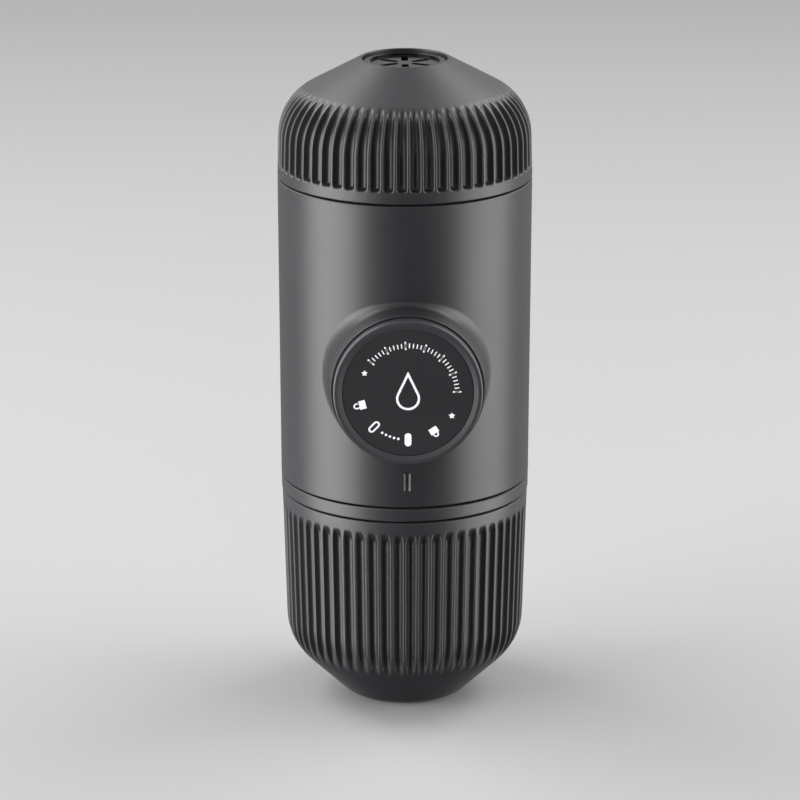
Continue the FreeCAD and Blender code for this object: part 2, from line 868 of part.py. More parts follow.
def screw_bosses(body):
    """Webs inside the shell, with the holes of the pump base's screws."""
    half = dim.base_boss_radius
    outer = dim.body_radius - dim.housing_wall / 2

    def draw(sketch):
        outline(sketch, [
            (base_screw_ring - half, -half, half / 2),
            (outer, -half),
            (outer, half),
            (base_screw_ring - half, half, half / 2),
        ])

    where = {"plane": "XY_Plane", "out": base_high, "swing": dim.base_screw_angle}
    boss = extrude(body, draw, dim.base_boss_height, **where)
    around(body, boss, dim.base_screw_count)
    spot = (base_screw_ring, 0)
    hole = pillar(body, dim.screw_shank_radius, dim.screw_length, spot, cut=True, **where)
    around(body, hole, dim.base_screw_count)


# Pump: level pieces, drawn with their axis upright and then laid along -Y


def level_body(label):
    """A piece on the knob's axis: its own Z runs out towards the knob."""
    return new_body(label, lift=knob_axis_height, level=True)


def pump_block():
    """The casting that holds the cylinder, both valves and the dish under the basket."""
    body = new_body("pump_block")
    turn_on_knob_axis(body, [
        (-block_rear, 0),
        (-block_rear, block_radius - dim.block_chamfer),
        (dim.block_chamfer - block_rear, block_radius),
        (liner_front, block_radius),
        (liner_front, flange_radius),
        (well_back, flange_radius),
        (well_back, 0),
    ])
    valve_spot = (0, valve_setback)
    low_column = knob_axis_height - base_high
    pillar(body, dim.column_radius, low_column, valve_spot, plane="XY_Plane", out=base_high)
    high = {"plane": "XY_Plane", "out": knob_axis_height}
    column = dish_low + dim.dish_flange / 2 - knob_axis_height
    pillar(body, dim.column_radius, column, valve_spot, **high)
    pillar(body, dim.column_radius, column, **high)
    recess_floor = dish_top - dim.dish_recess_depth
    groove_low = inner_neck_low + dim.group_seal_rise
    groove_high = groove_low + dim.group_seal_width
    groove = dish_radius - dim.group_seal_depth
    flange = neck_radius - dim.dish_flange_inset
    recess = dish_radius - dim.dish_rim
    turn(body, [
        (0, dish_low),
        (flange, dish_low),
        (flange, inner_neck_low),
        (dish_radius, inner_neck_low),
        (dish_radius, groove_low),
        (groove, groove_low),
        (groove, groove_high),
        (dish_radius, groove_high),
        (dish_radius, dish_top),
        (recess, dish_top),
        (recess, recess_floor),
        (dim.post_radius, recess_floor),
        (dim.post_radius, dish_top),
        (0, dish_top),
    ])
    turn_on_knob_axis(body, [
        (-chamber_end, 0),
        (-chamber_end, liner_radius + dim.fit_gap),
        (well_back, liner_radius + dim.fit_gap),
        (well_back, 0),
    ], cut=True)
    for low, high, radius in (
        (base_high, inlet_pocket_top, dim.valve_pocket_radius),
        (inlet_pocket_top, knob_axis_height, dim.port_radius),
        (knob_axis_height, outlet_seat_low, dim.port_radius),
        (outlet_seat_low, recess_floor, dim.valve_pocket_radius),
    ):
        pillar(body, radius, high - low, valve_spot, cut=True, plane="XY_Plane", out=low)
    depth = dim.screw_length + dim.dish_recess_depth
    top = {"plane": "XY_Plane", "out": dish_top, "cut": True, "ahead": True}
    pillar(body, dim.screw_shank_radius, depth, **top)
    front = {"up": knob_axis_height, "out": well_back, "cut": True, "ahead": True}
    for spot in guide_screw_spots():
        pillar(body, dim.screw_shank_radius, dim.flange_thickness, spot, **front)


def cylinder_liner():
    """The steel sleeve that the piston runs in, with a port to each valve."""
    body = level_body("cylinder_liner")
    bore = dim.cylinder_bore_radius
    turn(body, [
        (bore, -chamber_end),
        (liner_radius, -chamber_end),
        (liner_radius, liner_front),
        (bore, liner_front),
    ])
    through = 2 * (liner_radius + dim.cut_margin)
    pillar(body, dim.port_radius, through, (0, -valve_setback), cut=True, both=True)


def rod_bush():
    """The bush that guides the piston's rod."""
    body = level_body("rod_bush")
    turn(body, [
        (rod_hole, liner_front),
        (liner_radius, liner_front),
        (liner_radius, well_back),
        (rod_hole, well_back),
    ])


def guide_sleeve():
    """The tube that the knob slides on, with two channels that let its lugs turn."""
    body = level_body("guide_sleeve")
    hole = rod_hole + dim.piston_gap
    turn(body, [
        (hole, well_back),
        (spigot_radius, well_back),
        (spigot_radius, well_floor),
        (flange_radius, well_floor),
        (flange_radius, sleeve_flange_front),
        (sleeve_radius, sleeve_flange_front),
        (sleeve_radius, sleeve_front),
        (sleeve_inner, sleeve_front),
        (sleeve_inner, well_floor),
        (hole, well_floor),
    ])
    floor = sleeve_radius - dim.channel_depth
    width = dim.lug_angle + dim.unlock_angle + 2 * dim.play_angle
    channel = turn(body, [
        (floor, sleeve_flange_front),
        (sleeve_radius + dim.channel_depth, sleeve_flange_front),
        (sleeve_radius + dim.channel_depth, sleeve_front + dim.cut_margin),
        (floor, sleeve_front + dim.cut_margin),
    ], cut=True, angle=width)
    around(body, channel, 2)
    head = dim.guide_screw_head_radius + dim.fit_gap
    shank = dim.screw_shank_radius + dim.fit_gap
    front = sleeve_flange_front + dim.fit_gap
    seat = turn(body, [
        (0, well_floor - dim.cut_margin),
        (shank, well_floor - dim.cut_margin),
        (shank, sleeve_flange_front - dim.screw_head_height),
        (head, sleeve_flange_front),
        (head, front),
        (0, front),
    ], cut=True, **ring_spot(guide_screw_ring, dim.guide_screw_angle))
    around(body, seat, dim.guide_screw_count)


def guide_screws():
    """The countersunk screws that hold the sleeve and the block to the well's floor."""
    body = level_body("guide_screws")
    tip = liner_front + dim.running_gap
    screw = turn(body, [
        (0, tip),
        (dim.screw_shank_radius - dim.fit_gap, tip),
        (dim.screw_shank_radius - dim.fit_gap, sleeve_flange_front - dim.screw_head_height),
        (dim.guide_screw_head_radius - dim.fit_gap, sleeve_flange_front),
        (0, sleeve_flange_front),
    ], **ring_spot(guide_screw_ring, dim.guide_screw_angle))
    around(body, screw, dim.guide_screw_count)


def return_spring():
    """The spring that pushes the knob out once it is unlocked."""
    body = level_body("return_spring")
    radius = sleeve_inner - dim.spring_inset
    high = washer_low - dim.fit_gap
    wire_spring(body, radius, dim.spring_wire, well_floor, high, dim.spring_turns)


def piston_rod():
    """The piston with its rod and the seal's groove."""
    body = level_body("piston_rod")
    head = dim.cylinder_bore_radius - dim.piston_gap
    low = dim.piston_rest - chamber_end
    clip_high = clip_low + dim.clip_thickness
    groove_low = low + (dim.piston_length - dim.seal_width) / 2
    groove = dim.cylinder_bore_radius - dim.seal_depth
    turn(body, [
        (0, low),
        (head, low),
        (head, groove_low),
        (groove, groove_low),
        (groove, groove_low + dim.seal_width),
        (head, groove_low + dim.seal_width),
        (head, low + dim.piston_length),
        (dim.rod_radius, low + dim.piston_length),
        (dim.rod_radius, washer_low),
        (dim.rod_tip_radius, washer_low),
        (dim.rod_tip_radius, clip_low),
        (dim.clip_groove_radius, clip_low),
        (dim.clip_groove_radius, clip_high),
        (dim.rod_tip_radius, clip_high),
        (dim.rod_tip_radius, clip_high + dim.rod_end_land),
        (0, clip_high + dim.rod_end_land),
    ])


def piston_seal():
    """The rubber ring of the piston."""
    body = level_body("piston_seal")
    low = dim.piston_rest - chamber_end + (dim.piston_length - dim.seal_width) / 2
    inner = dim.cylinder_bore_radius - dim.seal_depth
    outer = dim.cylinder_bore_radius - dim.fit_gap
    turn(body, [
        (inner, low),
        (outer, low, dim.seal_width / 4),
        (outer, low + dim.seal_width, dim.seal_width / 4),
        (inner, low + dim.seal_width),
    ])


def spring_washer():
    """The washer between the spring and the knob, on the rod's shoulder."""
    body = level_body("spring_washer")
    outer = sleeve_inner - dim.piston_gap
    turn(body, [
        (dim.rod_tip_radius, washer_low),
        (outer, washer_low),
        (outer, washer_low + dim.washer_thickness),
        (dim.rod_tip_radius, washer_low + dim.washer_thickness),
    ])


def knob_clip():
    """The open ring that holds the knob on the rod."""
    body = level_body("knob_clip")
    turn(body, [
        (dim.clip_groove_radius, clip_low),
        (dim.clip_radius, clip_low),
        (dim.clip_radius, clip_low + dim.clip_thickness),
        (dim.clip_groove_radius, clip_low + dim.clip_thickness),
    ])
    half = dim.clip_opening / 2
    end = -dim.clip_radius - dim.cut_margin

    def draw(sketch):
        outline(sketch, [(-half, 0), (half, 0), (half, end), (-half, end)])

    where = {"plane": "XY_Plane", "out": clip_low}
    extrude(body, draw, dim.clip_thickness, cut=True, **where)


def knob():
    """The pump knob: a skirt, a dished rim and an inner tube with two lugs."""
    body = level_body("knob")
    plate_front = plate_low + dim.knob_plate
    seat = knob_front - dim.face_recess - dim.face_thickness
    skirt_back = boss_front - dim.stroke - dim.knob_hold
    skirt_inner = dim.knob_radius - dim.knob_wall
    tube_back = sleeve_flange_front + dim.knob_gap
    tube_outer = knob_tube_radius + dim.knob_tube_wall
    face_radius = dim.knob_radius - dim.rim_width
    turn(body, [
        (dim.rod_tip_radius + dim.running_gap, plate_low),
        (knob_tube_radius, plate_low),
        (knob_tube_radius, tube_back),
        (tube_outer, tube_back),
        (tube_outer, plate_low),
        (skirt_inner, plate_low),
        (skirt_inner, skirt_back),
        (dim.knob_radius, skirt_back),
        (dim.knob_radius, knob_front, dim.knob_round),
        (dim.knob_radius - dim.rim_width / 2, knob_front, dim.knob_round / 2),
        (face_radius, knob_front - dim.rim_depth),
        (face_radius, seat),
        (dim.clip_cavity_radius, seat),
        (dim.clip_cavity_radius, plate_front),
        (dim.rod_tip_radius + dim.running_gap, plate_front),
    ])
    inner = knob_tube_radius - dim.lug_depth
    lug = turn(body, [
        (inner, tube_back),
        (knob_tube_radius + dim.knob_tube_wall / 2, tube_back),
        (knob_tube_radius + dim.knob_tube_wall / 2, tube_back + dim.lug_length),
        (inner, tube_back + dim.lug_length),
    ], angle=dim.lug_angle, swing=-dim.unlock_angle / 2)
    around(body, lug, 2)


def knob_face():
    """The dark disc set in the knob's rim."""
    body = level_body("knob_face")
    front = knob_front - dim.face_recess
    radius = dim.knob_radius - dim.rim_width - dim.fit_gap
    turn(body, [
        (0, front - dim.face_thickness),
        (radius, front - dim.face_thickness),
        (radius, front, dim.face_thickness / 4),
        (0, front),
    ])


# Valves


def valve_body(label, lift):
    """A piece on the valves' upright axis."""
    return new_body(label, lift=lift, back=valve_setback)


def valve_seat(label, lift):
    """A seat with a bore and a cone for the ball."""
    body = valve_body(label, lift)
    outer = dim.valve_pocket_radius - dim.fit_gap
    cone_height = dim.ball_radius - dim.port_radius
    turn(body, [
        (dim.port_radius, 0),
        (outer, 0),
        (outer, dim.seat_height),
        (dim.ball_radius, dim.seat_height),
        (dim.port_radius, dim.seat_height - cone_height),
    ])


def valve_ball(label, lift):
    """A ball that rests in the seat's cone, a hair above it."""
    body = valve_body(label, lift + ball_rise)
    radius = dim.ball_radius
    sketch = new_sketch(body)
    centre = Vector(0, 0, 0)
    value = radius.value
    circle = Part.Circle(centre, Vector(0, 0, 1), value)
    quarter = math.pi / 2
    arc = sketch.addGeometry(Part.ArcOfCircle(circle, -quarter, quarter))
    line = sketch.addGeometry(Part.LineSegment(Vector(0, value, 0), Vector(0, -value, 0)))
    sketch.addConstraint(Sketcher.Constraint("Coincident", arc, 2, line, 1))
    sketch.addConstraint(Sketcher.Constraint("Coincident", arc, 1, line, 2))
    sketch.addConstraint(Sketcher.Constraint("Coincident", arc, 3, -1, 1))
    sketch.addConstraint(Sketcher.Constraint("PointOnObject", line, 1, -2))
    number = sketch.addConstraint(Sketcher.Constraint("Radius", arc, value))
    bind(sketch, f"Constraints[{number}]", radius)
    feature = body.newObject("PartDesign::Revolution", f"{label}_turned")
    feature.Profile = sketch
    feature.ReferenceAxis = (sketch, ["V_Axis"])
    feature.Angle = 360
    body.Tip = feature


def valve_spring(label, low, high):
    """The light spring over a ball."""
    body = valve_body(label, low)
    radius, wire = dim.valve_spring_radius, dim.valve_wire
    wire_spring(body, radius, wire, 0, high - low, dim.valve_spring_turns)


def outlet_valve_cap():
    """The pierced plug that holds the outlet valve's spring."""
    body = valve_body("outlet_valve_cap", outlet_cap_low)
    outer = dim.valve_pocket_radius - dim.fit_gap
    inner = outer - dim.cap_wall
    turn(body, [
        (dim.port_radius, 0),
        (outer, 0),
        (outer, dim.cap_height),
        (inner, dim.cap_height),
        (inner, dim.cap_floor),
        (dim.port_radius, dim.cap_floor),
    ])


def inlet_strainer():
    """The fine disc over the inlet, set in the pump base."""
    body = valve_body("inlet_strainer", base_low)
    outer = dim.valve_pocket_radius - dim.fit_gap
    turn(body, [
        (0, 0),
        (outer, 0),
        (outer, dim.strainer_height),
        (0, dim.strainer_height),
    ])
    rings, pitch, hole = dim.strainer_hole_rings, dim.strainer_hole_pitch, dim.strainer_hole_radius
    sieve(body, rings, pitch, hole, dim.strainer_height, dim.strainer_height)


# Pump base


def pump_base():
    """The plate that closes the housing over the tank, with the water's inlet."""
    body = new_body("pump_base")
    turn(body, [
        (0, base_low),
        (base_radius, base_low),
        (base_radius, base_high),
        (0, base_high),
    ])
    spot = (0, valve_setback)
    low = {"plane": "XY_Plane", "out": base_low, "cut": True}
    pillar(body, dim.valve_pocket_radius, dim.strainer_height, spot, **low)
    pillar(body, dim.port_radius, dim.base_thickness, spot, **low)
    head = dim.screw_head_radius + dim.fit_gap
    shank = dim.screw_shank_radius + dim.fit_gap
    seat = turn(body, [
        (0, base_low - dim.cut_margin),
        (head, base_low - dim.cut_margin),
        (head, base_low),
        (shank, base_low + dim.screw_head_height),
        (shank, base_high + dim.cut_margin),
        (0, base_high + dim.cut_margin),
    ], cut=True, **ring_spot(base_screw_ring, dim.base_screw_angle))
    around(body, seat, dim.base_screw_count)


def pump_base_screws():
    """The countersunk screws of the pump base."""
    body = new_body("pump_base_screws", lift=base_low)
    shank = dim.screw_shank_radius - dim.fit_gap
    screw = turn(body, [
        (0, 0),
        (dim.screw_head_radius - dim.fit_gap, 0),
        (shank, dim.screw_head_height),
        (shank, dim.screw_length),
        (0, dim.screw_length),
    ], **ring_spot(base_screw_ring, dim.base_screw_angle))
    around(body, screw, dim.base_screw_count)


# Group head


def group_seal():
    """The ring between the dish and the housing's neck."""
    body = new_body("group_seal", lift=inner_neck_low + dim.group_seal_rise)
    outer = neck_bore_radius - dim.fit_gap
    inner = dish_radius - dim.group_seal_depth
    width = dim.group_seal_width
    turn(body, [
        (inner, 0),
        (outer, 0, width / 4),
        (outer, width, width / 4),
        (inner, width),
    ])


def shower_screen():
    """The pierced plate that spreads the water over the coffee."""
    body = new_body("shower_screen", lift=dish_top)
    hole = dim.screw_shank_radius + dim.fit_gap
    turn(body, [
        (hole, 0),
        (screen_radius, 0),
        (screen_radius, dim.screen_thickness),
        (hole, dim.screen_thickness),
    ])
    top = dim.screen_thickness
    pitch = (dish_radius - dim.dish_rim - dim.screen_hole_margin) / dim.screen_hole_rings
    sieve(body, dim.screen_hole_rings, pitch, dim.screen_hole_radius, top, top)


def shower_screw():
    """The screw in the middle of the shower screen."""
    body = new_body("shower_screw", lift=screen_top)
    shank = dim.screw_shank_radius - dim.fit_gap
    turn(body, [
        (0, -dim.screw_length),
        (shank, -dim.screw_length),
        (shank, 0),
        (dim.screw_head_radius, 0),
        (dim.screw_head_radius, dim.screw_head_height, dim.edge_round),
        (0, dim.screw_head_height),
    ])


def group_gasket():
    """The rubber ring that the basket is pressed against."""
    body = new_body("group_gasket", lift=screen_top)
    inner = screen_radius - dim.gasket_width
    turn(body, [
        (inner, 0),
        (screen_radius, 0),
        (screen_radius, dim.gasket_height, dim.edge_round),
        (inner, dim.gasket_height, dim.edge_round),
    ])


def filter_basket():
    """The steel basket for the coffee, open below and pierced on top."""
    body = new_body("filter_basket", lift=basket_low)
    outer = basket_radius
    inner = outer - dim.basket_wall
    top = basket_top - basket_low
    turn(body, [
        (inner, 0),
        (basket_flange_radius, 0),
        (basket_flange_radius, dim.basket_flange),
        (outer, dim.basket_flange),
        (outer, top, dim.basket_wall * 2),
        (0, top),
        (0, top - dim.basket_wall),
        (inner, top - dim.basket_wall, dim.basket_wall),
    ])
    rings = dim.basket_hole_rings
    pitch = (inner - dim.basket_hole_margin) / rings
    sieve(body, rings, pitch, dim.basket_hole_radius, top, dim.basket_wall)


# Outlet head


def outlet_head():
    """The ribbed dome that screws down over the basket."""
    body = new_body("outlet_head")
    run = head_corner_radius - spout_rim_radius
    steep = dim.head_corner_drop / run
    lean = root(1 + steep * steep)
    corner = head_top - dim.head_corner_drop
    ledge = head_neck_top + dim.head_ledge_gap
    cavity = insert_radius + dim.running_gap
    cone_inner = insert_cone_radius + dim.running_gap
    turn(body, [
        (socket_radius, head_low, dim.edge_round),
        (housing_high_radius, head_low, dim.edge_round),
        (head_corner_radius, corner, dim.head_corner_round),
        (spout_rim_radius, head_top, dim.edge_round),
        (spout_radius, head_top, dim.edge_round / 2),
        (spout_radius, insert_cone_top),
        (cone_inner, insert_cone_top),
        (cavity - dim.insert_ledge, insert_ledge_height),
        (cavity, insert_ledge_height),
        (cavity, ledge),
        (socket_radius, ledge),
    ])
    depth = dim.rib_depth
    low = head_low + dim.head_rib_low
    wall = on_line((housing_high_radius, head_low), (head_corner_radius, corner), low)
    end = head_corner_radius - dim.head_rib_run
    end_height = corner + dim.head_rib_run * steep
    fade = dim.rib_fade
    drop = depth * (lean - steep)
    inner_round = dim.head_corner_round - depth
    outer_round = dim.head_corner_round + depth
    groove = turn(body, [
        (wall + depth, low - fade),
        (head_corner_radius + depth, corner + drop, outer_round),
        (end - fade, end_height + fade * steep + depth * lean),
        (end + fade, end_height - fade * steep - depth * lean),
        (head_corner_radius - depth, corner - drop, inner_round),
        (wall - depth, low + fade),
    ], cut=True, angle=dim.rib_groove_angle)
    around(body, groove, dim.head_rib_count)
    thread(body, socket_radius, socket_crest, head_low + dim.thread_entry)


def head_gasket():
    """The flat ring that seals the outlet head against the housing's neck."""
    body = new_body("head_gasket", lift=head_neck_top + dim.seat_gap)
    inner = neck_bore_radius + dim.seat_gap
    turn(body, [
        (inner, 0),
        (neck_radius, 0),
        (neck_radius, dim.head_gasket_height),
        (inner, dim.head_gasket_height),
    ])


def spout_insert():
    """The black spout: a funnel over the basket and a star of slots in the dome's top."""
    body = new_body("spout_insert")
    ledge = insert_radius - dim.insert_ledge
    top = head_top - dim.insert_recess
    slot_floor = top - dim.star_recess_depth - dim.spout_floor
    throat = insert_low + dim.funnel_rise
    turn(body, [
        (insert_radius - dim.funnel_rim, insert_low),
        (insert_radius, insert_low),
        (insert_radius, insert_ledge_height),
        (ledge, insert_ledge_height),
        (insert_cone_radius, insert_cone_top),
        (dim.insert_stem_radius, insert_cone_top),
        (dim.insert_stem_radius, top, dim.edge_round),
        (star_recess_radius, top, dim.edge_round / 2),
        (star_recess_radius, top - dim.star_recess_depth),
        (0, top - dim.star_recess_depth),
        (0, slot_floor),
        (star_radius, slot_floor),
        (star_radius, throat),
    ])
    half = dim.star_slot_width / 2

    def draw(sketch):
        outline(sketch, [
            (dim.star_inner_radius, -half, dim.star_slot_round),
            (star_radius, -half, dim.star_slot_round),
            (star_radius, half, dim.star_slot_round),
            (dim.star_inner_radius, half, dim.star_slot_round),
        ])

    depth = dim.star_recess_depth + dim.spout_floor
    where = {"plane": "XY_Plane", "out": top, "swing": dim.star_angle}
    slot = extrude(body, draw, depth, cut=True, ahead=True, **where)
    around(body, slot, dim.star_slots)


def check_pieces():
    """Stops before anything is written if a feature or a shape has failed."""
    for thing in doc.Objects:
        if "Invalid" in thing.State or "Error" in thing.State:
            raise RuntimeError(f"{thing.Label} failed: {thing.State}")
    for piece in pieces:
        if piece.Shape.isNull() or not piece.Shape.isValid():
            raise RuntimeError(f"{piece.Label} has no valid shape")


cup()
cup_grip_ring()
water_tank()
tank_vent_valve()
tank_gasket()
main_housing()
pump_block()
cylinder_liner()
rod_bush()
guide_sleeve()
guide_screws()
return_spring()
piston_rod()
piston_seal()
spring_washer()
knob_clip()
knob()
knob_face()
pump_base()
pump_base_screws()
inlet_strainer()
valve_seat("inlet_valve_seat", base_high)
valve_ball("inlet_valve_ball", base_high)
valve_spring("inlet_valve_spring", base_high + ball_top, inlet_pocket_top)
valve_seat("outlet_valve_seat", outlet_seat_low)
valve_ball("outlet_valve_ball", outlet_seat_low)
valve_spring("outlet_valve_spring", outlet_seat_low + ball_top, outlet_cap_low)
outlet_valve_cap()
group_seal()
shower_screen()
shower_screw()
group_gasket()
filter_basket()
outlet_head()
head_gasket()
spout_insert()
doc.recompute()
check_pieces()
os.makedirs("parts", exist_ok=True)
for piece in pieces:
    piece.Shape.exportStep(f"parts/{piece.Label}.step")
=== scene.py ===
"""Looks of the handheld manual espresso maker, built around its fixed frame."""

import json
import math

import bmesh
import bpy
from bpy.props import (
    FloatProperty,
    FloatVectorProperty,
    IntProperty,
    PointerProperty,
)
from bpy.types import Operator, Panel, PropertyGroup
from mathutils import Matrix, Vector


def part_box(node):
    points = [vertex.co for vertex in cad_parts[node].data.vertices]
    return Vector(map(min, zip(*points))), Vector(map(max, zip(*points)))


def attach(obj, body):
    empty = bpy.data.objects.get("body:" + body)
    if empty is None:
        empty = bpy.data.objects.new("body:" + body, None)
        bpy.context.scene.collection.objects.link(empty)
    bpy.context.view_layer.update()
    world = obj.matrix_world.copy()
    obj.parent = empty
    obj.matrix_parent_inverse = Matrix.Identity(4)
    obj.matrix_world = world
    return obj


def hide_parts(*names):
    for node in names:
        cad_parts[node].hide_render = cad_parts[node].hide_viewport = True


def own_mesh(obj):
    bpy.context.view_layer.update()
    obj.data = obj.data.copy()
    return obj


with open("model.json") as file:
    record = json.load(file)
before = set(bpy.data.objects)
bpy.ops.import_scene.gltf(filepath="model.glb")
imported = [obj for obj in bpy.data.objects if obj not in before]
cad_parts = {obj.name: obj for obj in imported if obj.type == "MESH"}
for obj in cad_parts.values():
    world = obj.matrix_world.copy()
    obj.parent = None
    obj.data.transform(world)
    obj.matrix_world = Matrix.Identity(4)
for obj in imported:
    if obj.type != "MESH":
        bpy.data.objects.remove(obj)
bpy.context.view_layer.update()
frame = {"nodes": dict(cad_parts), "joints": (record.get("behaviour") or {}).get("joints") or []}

bl_info = {
    "name": "Espresso Maker Looks",
    "version": (1, 0, 0),
    "blender": (4, 5, 0),
    "location": "3D View > Sidebar > Maker",
    "description": "Dresses the handheld espresso maker in plastic, rubber and steel",
    "category": "Add Mesh",
}

MM = 0.001


# Sizes and colours that a user can change


def length(name, description, default):
    """A length in metres."""
    return FloatProperty(
        name=name, description=description, default=default, unit="LENGTH", precision=5
    )


def angle(name, description, degrees):
    """An angle, given in degrees."""
    return FloatProperty(
        name=name, description=description, default=math.radians(degrees), subtype="ANGLE",
        unit="ROTATION",
    )


def count(name, description, default):
    """How many of something."""
    return IntProperty(name=name, description=description, default=default, min=1)


def colour(name, description, default):
    """A colour without alpha."""
    return FloatVectorProperty(
        name=name, description=description, default=default, subtype="COLOR", min=0, max=1
    )


def share(name, description, default):
    """A number from 0 to 1."""
    return FloatProperty(
        name=name, description=description, default=default, min=0, max=1, subtype="FACTOR"
    )


class MakerGrip(PropertyGroup):
    """The moulded grooves of the dome and the cup."""

    grooves: count("Grooves", "Grooves round the dome, and round the cup", 60)
    dome_width: length("Dome groove width", "Across a groove of the dome, rim to rim", 0.0024)
    dome_depth: length("Dome groove depth", "How deep the dome's grooves are", 0.0014)
    cup_width: length("Cup groove width", "Across a groove of the cup, rim to rim", 0.0023)
    cup_depth: length("Cup groove depth", "How deep the cup's grooves are", 0.0012)
    softness: length("Softness", "How far below its rim a groove is rounded over", 0.0011)
    squareness: FloatProperty(
        name="Squareness", default=3.4,
        description="2 is a round scoop, and more is a flatter floor",
    )
    dome_turn: angle("Dome turn", "Where the dome's first groove lies", 3.6)
    cup_turn: angle("Cup turn", "Where the cup's first groove lies", 1.8)


class MakerMarks(PropertyGroup):
    """The printed marks on the knob's face."""

    ring: length("Ring", "Radius of the ring of marks", 0.0114)
    pill_length: length("Pill length", "Length of the locked and unlocked marks", 0.0032)
    pill_width: length("Pill width", "Width of the locked and unlocked marks", 0.0016)
    line: length("Line", "Width of the printed lines", 0.00042)
    thickness: length("Thickness", "How far the print stands proud", 0.00003)
    dots: count("Dots", "Dots between the two marks", 5)
    ticks: count("Ticks", "Ticks of the upper scale", 31)


class MakerFinishes(PropertyGroup):
    """Colours and roughness of the materials."""

    shell: colour("Shell", "Satin plastic of the housing and the dome", (0.0088, 0.0088, 0.0106))
    cup: colour("Cup", "Satin plastic of the cup", (0.0125, 0.0125, 0.0146))
    knob: colour("Knob", "Satin plastic of the pump knob", (0.019, 0.019, 0.022))
    face: colour("Knob face", "Inlaid disc of the pump knob", (0.0075, 0.0075, 0.0092))
    gloss: colour("Spout", "Polished black plastic of the spout", (0.006, 0.006, 0.007))
    marks: colour("Marks", "Printed marks on the knob's face", (0.62, 0.62, 0.64))
    pump: colour("Pump plastic", "Unpainted engineering plastic inside", (0.055, 0.055, 0.058))
    tank: colour("Tank", "Smoked plastic of the water tank", (0.0125, 0.0125, 0.0145))
    rubber: colour("Rubber", "Black seals", (0.012, 0.012, 0.012))
    silicone: colour("Silicone", "Grey gaskets", (0.30, 0.30, 0.31))
    steel: colour("Steel", "Stainless steel parts", (0.44, 0.435, 0.42))
    satin: share("Satin", "Roughness of the shell and the cup", 0.44)


class MakerStage(PropertyGroup):
    """The floor, the lamps and the camera."""

    distance: length("Camera distance", "Level distance from the maker's axis", 0.9333)
    height: length("Camera height", "Above the floor", 0.3622)
    aim: length("Aim height", "Where the middle of the view meets the axis", 0.0733)
    side_step: length("Side step", "How far left of the axis the view's middle lies", 0.00116)
    azimuth: angle("Azimuth", "Turn of the camera round the maker", -1.1)
    lens: FloatProperty(name="Lens", description="Focal length in millimetres", default=181.35)
    floor: colour("Floor", "Pale floor", (0.30, 0.30, 0.30))


def settings(group):
    """One of the scene's groups of settings."""
    return getattr(bpy.context.scene, "maker_" + group)


# Node trees


def add_node(tree, kind, inputs=None, **values):
    """The outputs of a new node that has these settings, and its inputs set or linked."""
    node = tree.nodes.new(kind)
    for name, value in values.items():
        setattr(node, name, value)
    for name, value in (inputs or {}).items():
        if isinstance(value, bpy.types.NodeSocket):
            tree.links.new(value, node.inputs[name])
        else:
            node.inputs[name].default_value = value
    return node.outputs


def new_group(name, kind, inputs, outputs):
    """A node group with named sockets, what it is given, and what it has to put out."""
    tree = bpy.data.node_groups.new(name, kind)
    for direction, sockets in (("INPUT", inputs), ("OUTPUT", outputs)):
        for label, carried, *default in sockets:
            socket = tree.interface.new_socket(
                label, in_out=direction, socket_type="NodeSocket" + carried
            )
            if default:
                socket.default_value = default[0]
    given = tree.nodes.new("NodeGroupInput").outputs
    return tree, given, tree.nodes.new("NodeGroupOutput").inputs


def calculate(tree, operation, *values, clamp=False):
    """The output of a Math node."""
    inputs = dict(enumerate(values))
    return add_node(tree, "ShaderNodeMath", inputs, operation=operation, use_clamp=clamp)[0]


def remap(tree, value, span):
    """A value carried from one range to another: span is from, from, to, to."""
    inputs = {0: value, **dict(enumerate(span, 1))}
    return add_node(tree, "ShaderNodeMapRange", inputs)[0]


def scaled(tree, vector, factor):
    """A vector or a colour times a number."""
    inputs = {0: vector, "Scale": factor}
    return add_node(tree, "ShaderNodeVectorMath", inputs, operation="SCALE")[0]


def shared(build):
    """The node group that a function builds, under its name, when first asked for."""
    return bpy.data.node_groups.get(build.__name__) or build()


# Meshes and pieces


def new_piece(name, mesh):
    """An object at the origin that shows a mesh."""
    mesh.name = name
    piece = bpy.data.objects.new(name, mesh)
    bpy.context.collection.objects.link(piece)
    return piece


def mesh_of(name, shape):
    """A mesh with the shape that a bmesh holds. The bmesh is freed."""
    mesh = bpy.data.meshes.new(name)
    shape.to_mesh(mesh)
    shape.free()
    return mesh


def outward_mesh(name, solid):
    """A mesh from a closed shape, its faces turned outwards."""
    bmesh.ops.recalc_face_normals(solid, faces=solid.faces)
    return mesh_of(name, solid)


def solid_mesh(name, sections, is_ring=False):
    """A closed mesh through sections with as many places each, in millimetres.

    The last section of a ring meets the first. Otherwise these two are the ends.
    """
    solid = bmesh.new()
    rings = [[solid.verts.new(place * MM) for place in section] for section in sections]
    for before, after in zip(rings, rings[1:] + rings[:1] if is_ring else rings[1:]):
        for place in range(len(before)):
            other = (place + 1) % len(before)
            solid.faces.new((before[place], before[other], after[other], after[place]))
    if not is_ring:
        solid.faces.new(rings[0])
        solid.faces.new(rings[-1])
    return outward_mesh(name, solid)


def crease(mesh, degrees):
    """Shades a mesh smooth, but for the edges that bend by more than an angle."""
    mesh.shade_smooth()
    mesh.set_sharp_from_angle(angle=math.radians(degrees))


def dress(mesh, material):
    """Gives a mesh one material, by its name, in place of any that it has."""
    mesh.materials.clear()
    mesh.materials.append(bpy.data.materials[material])


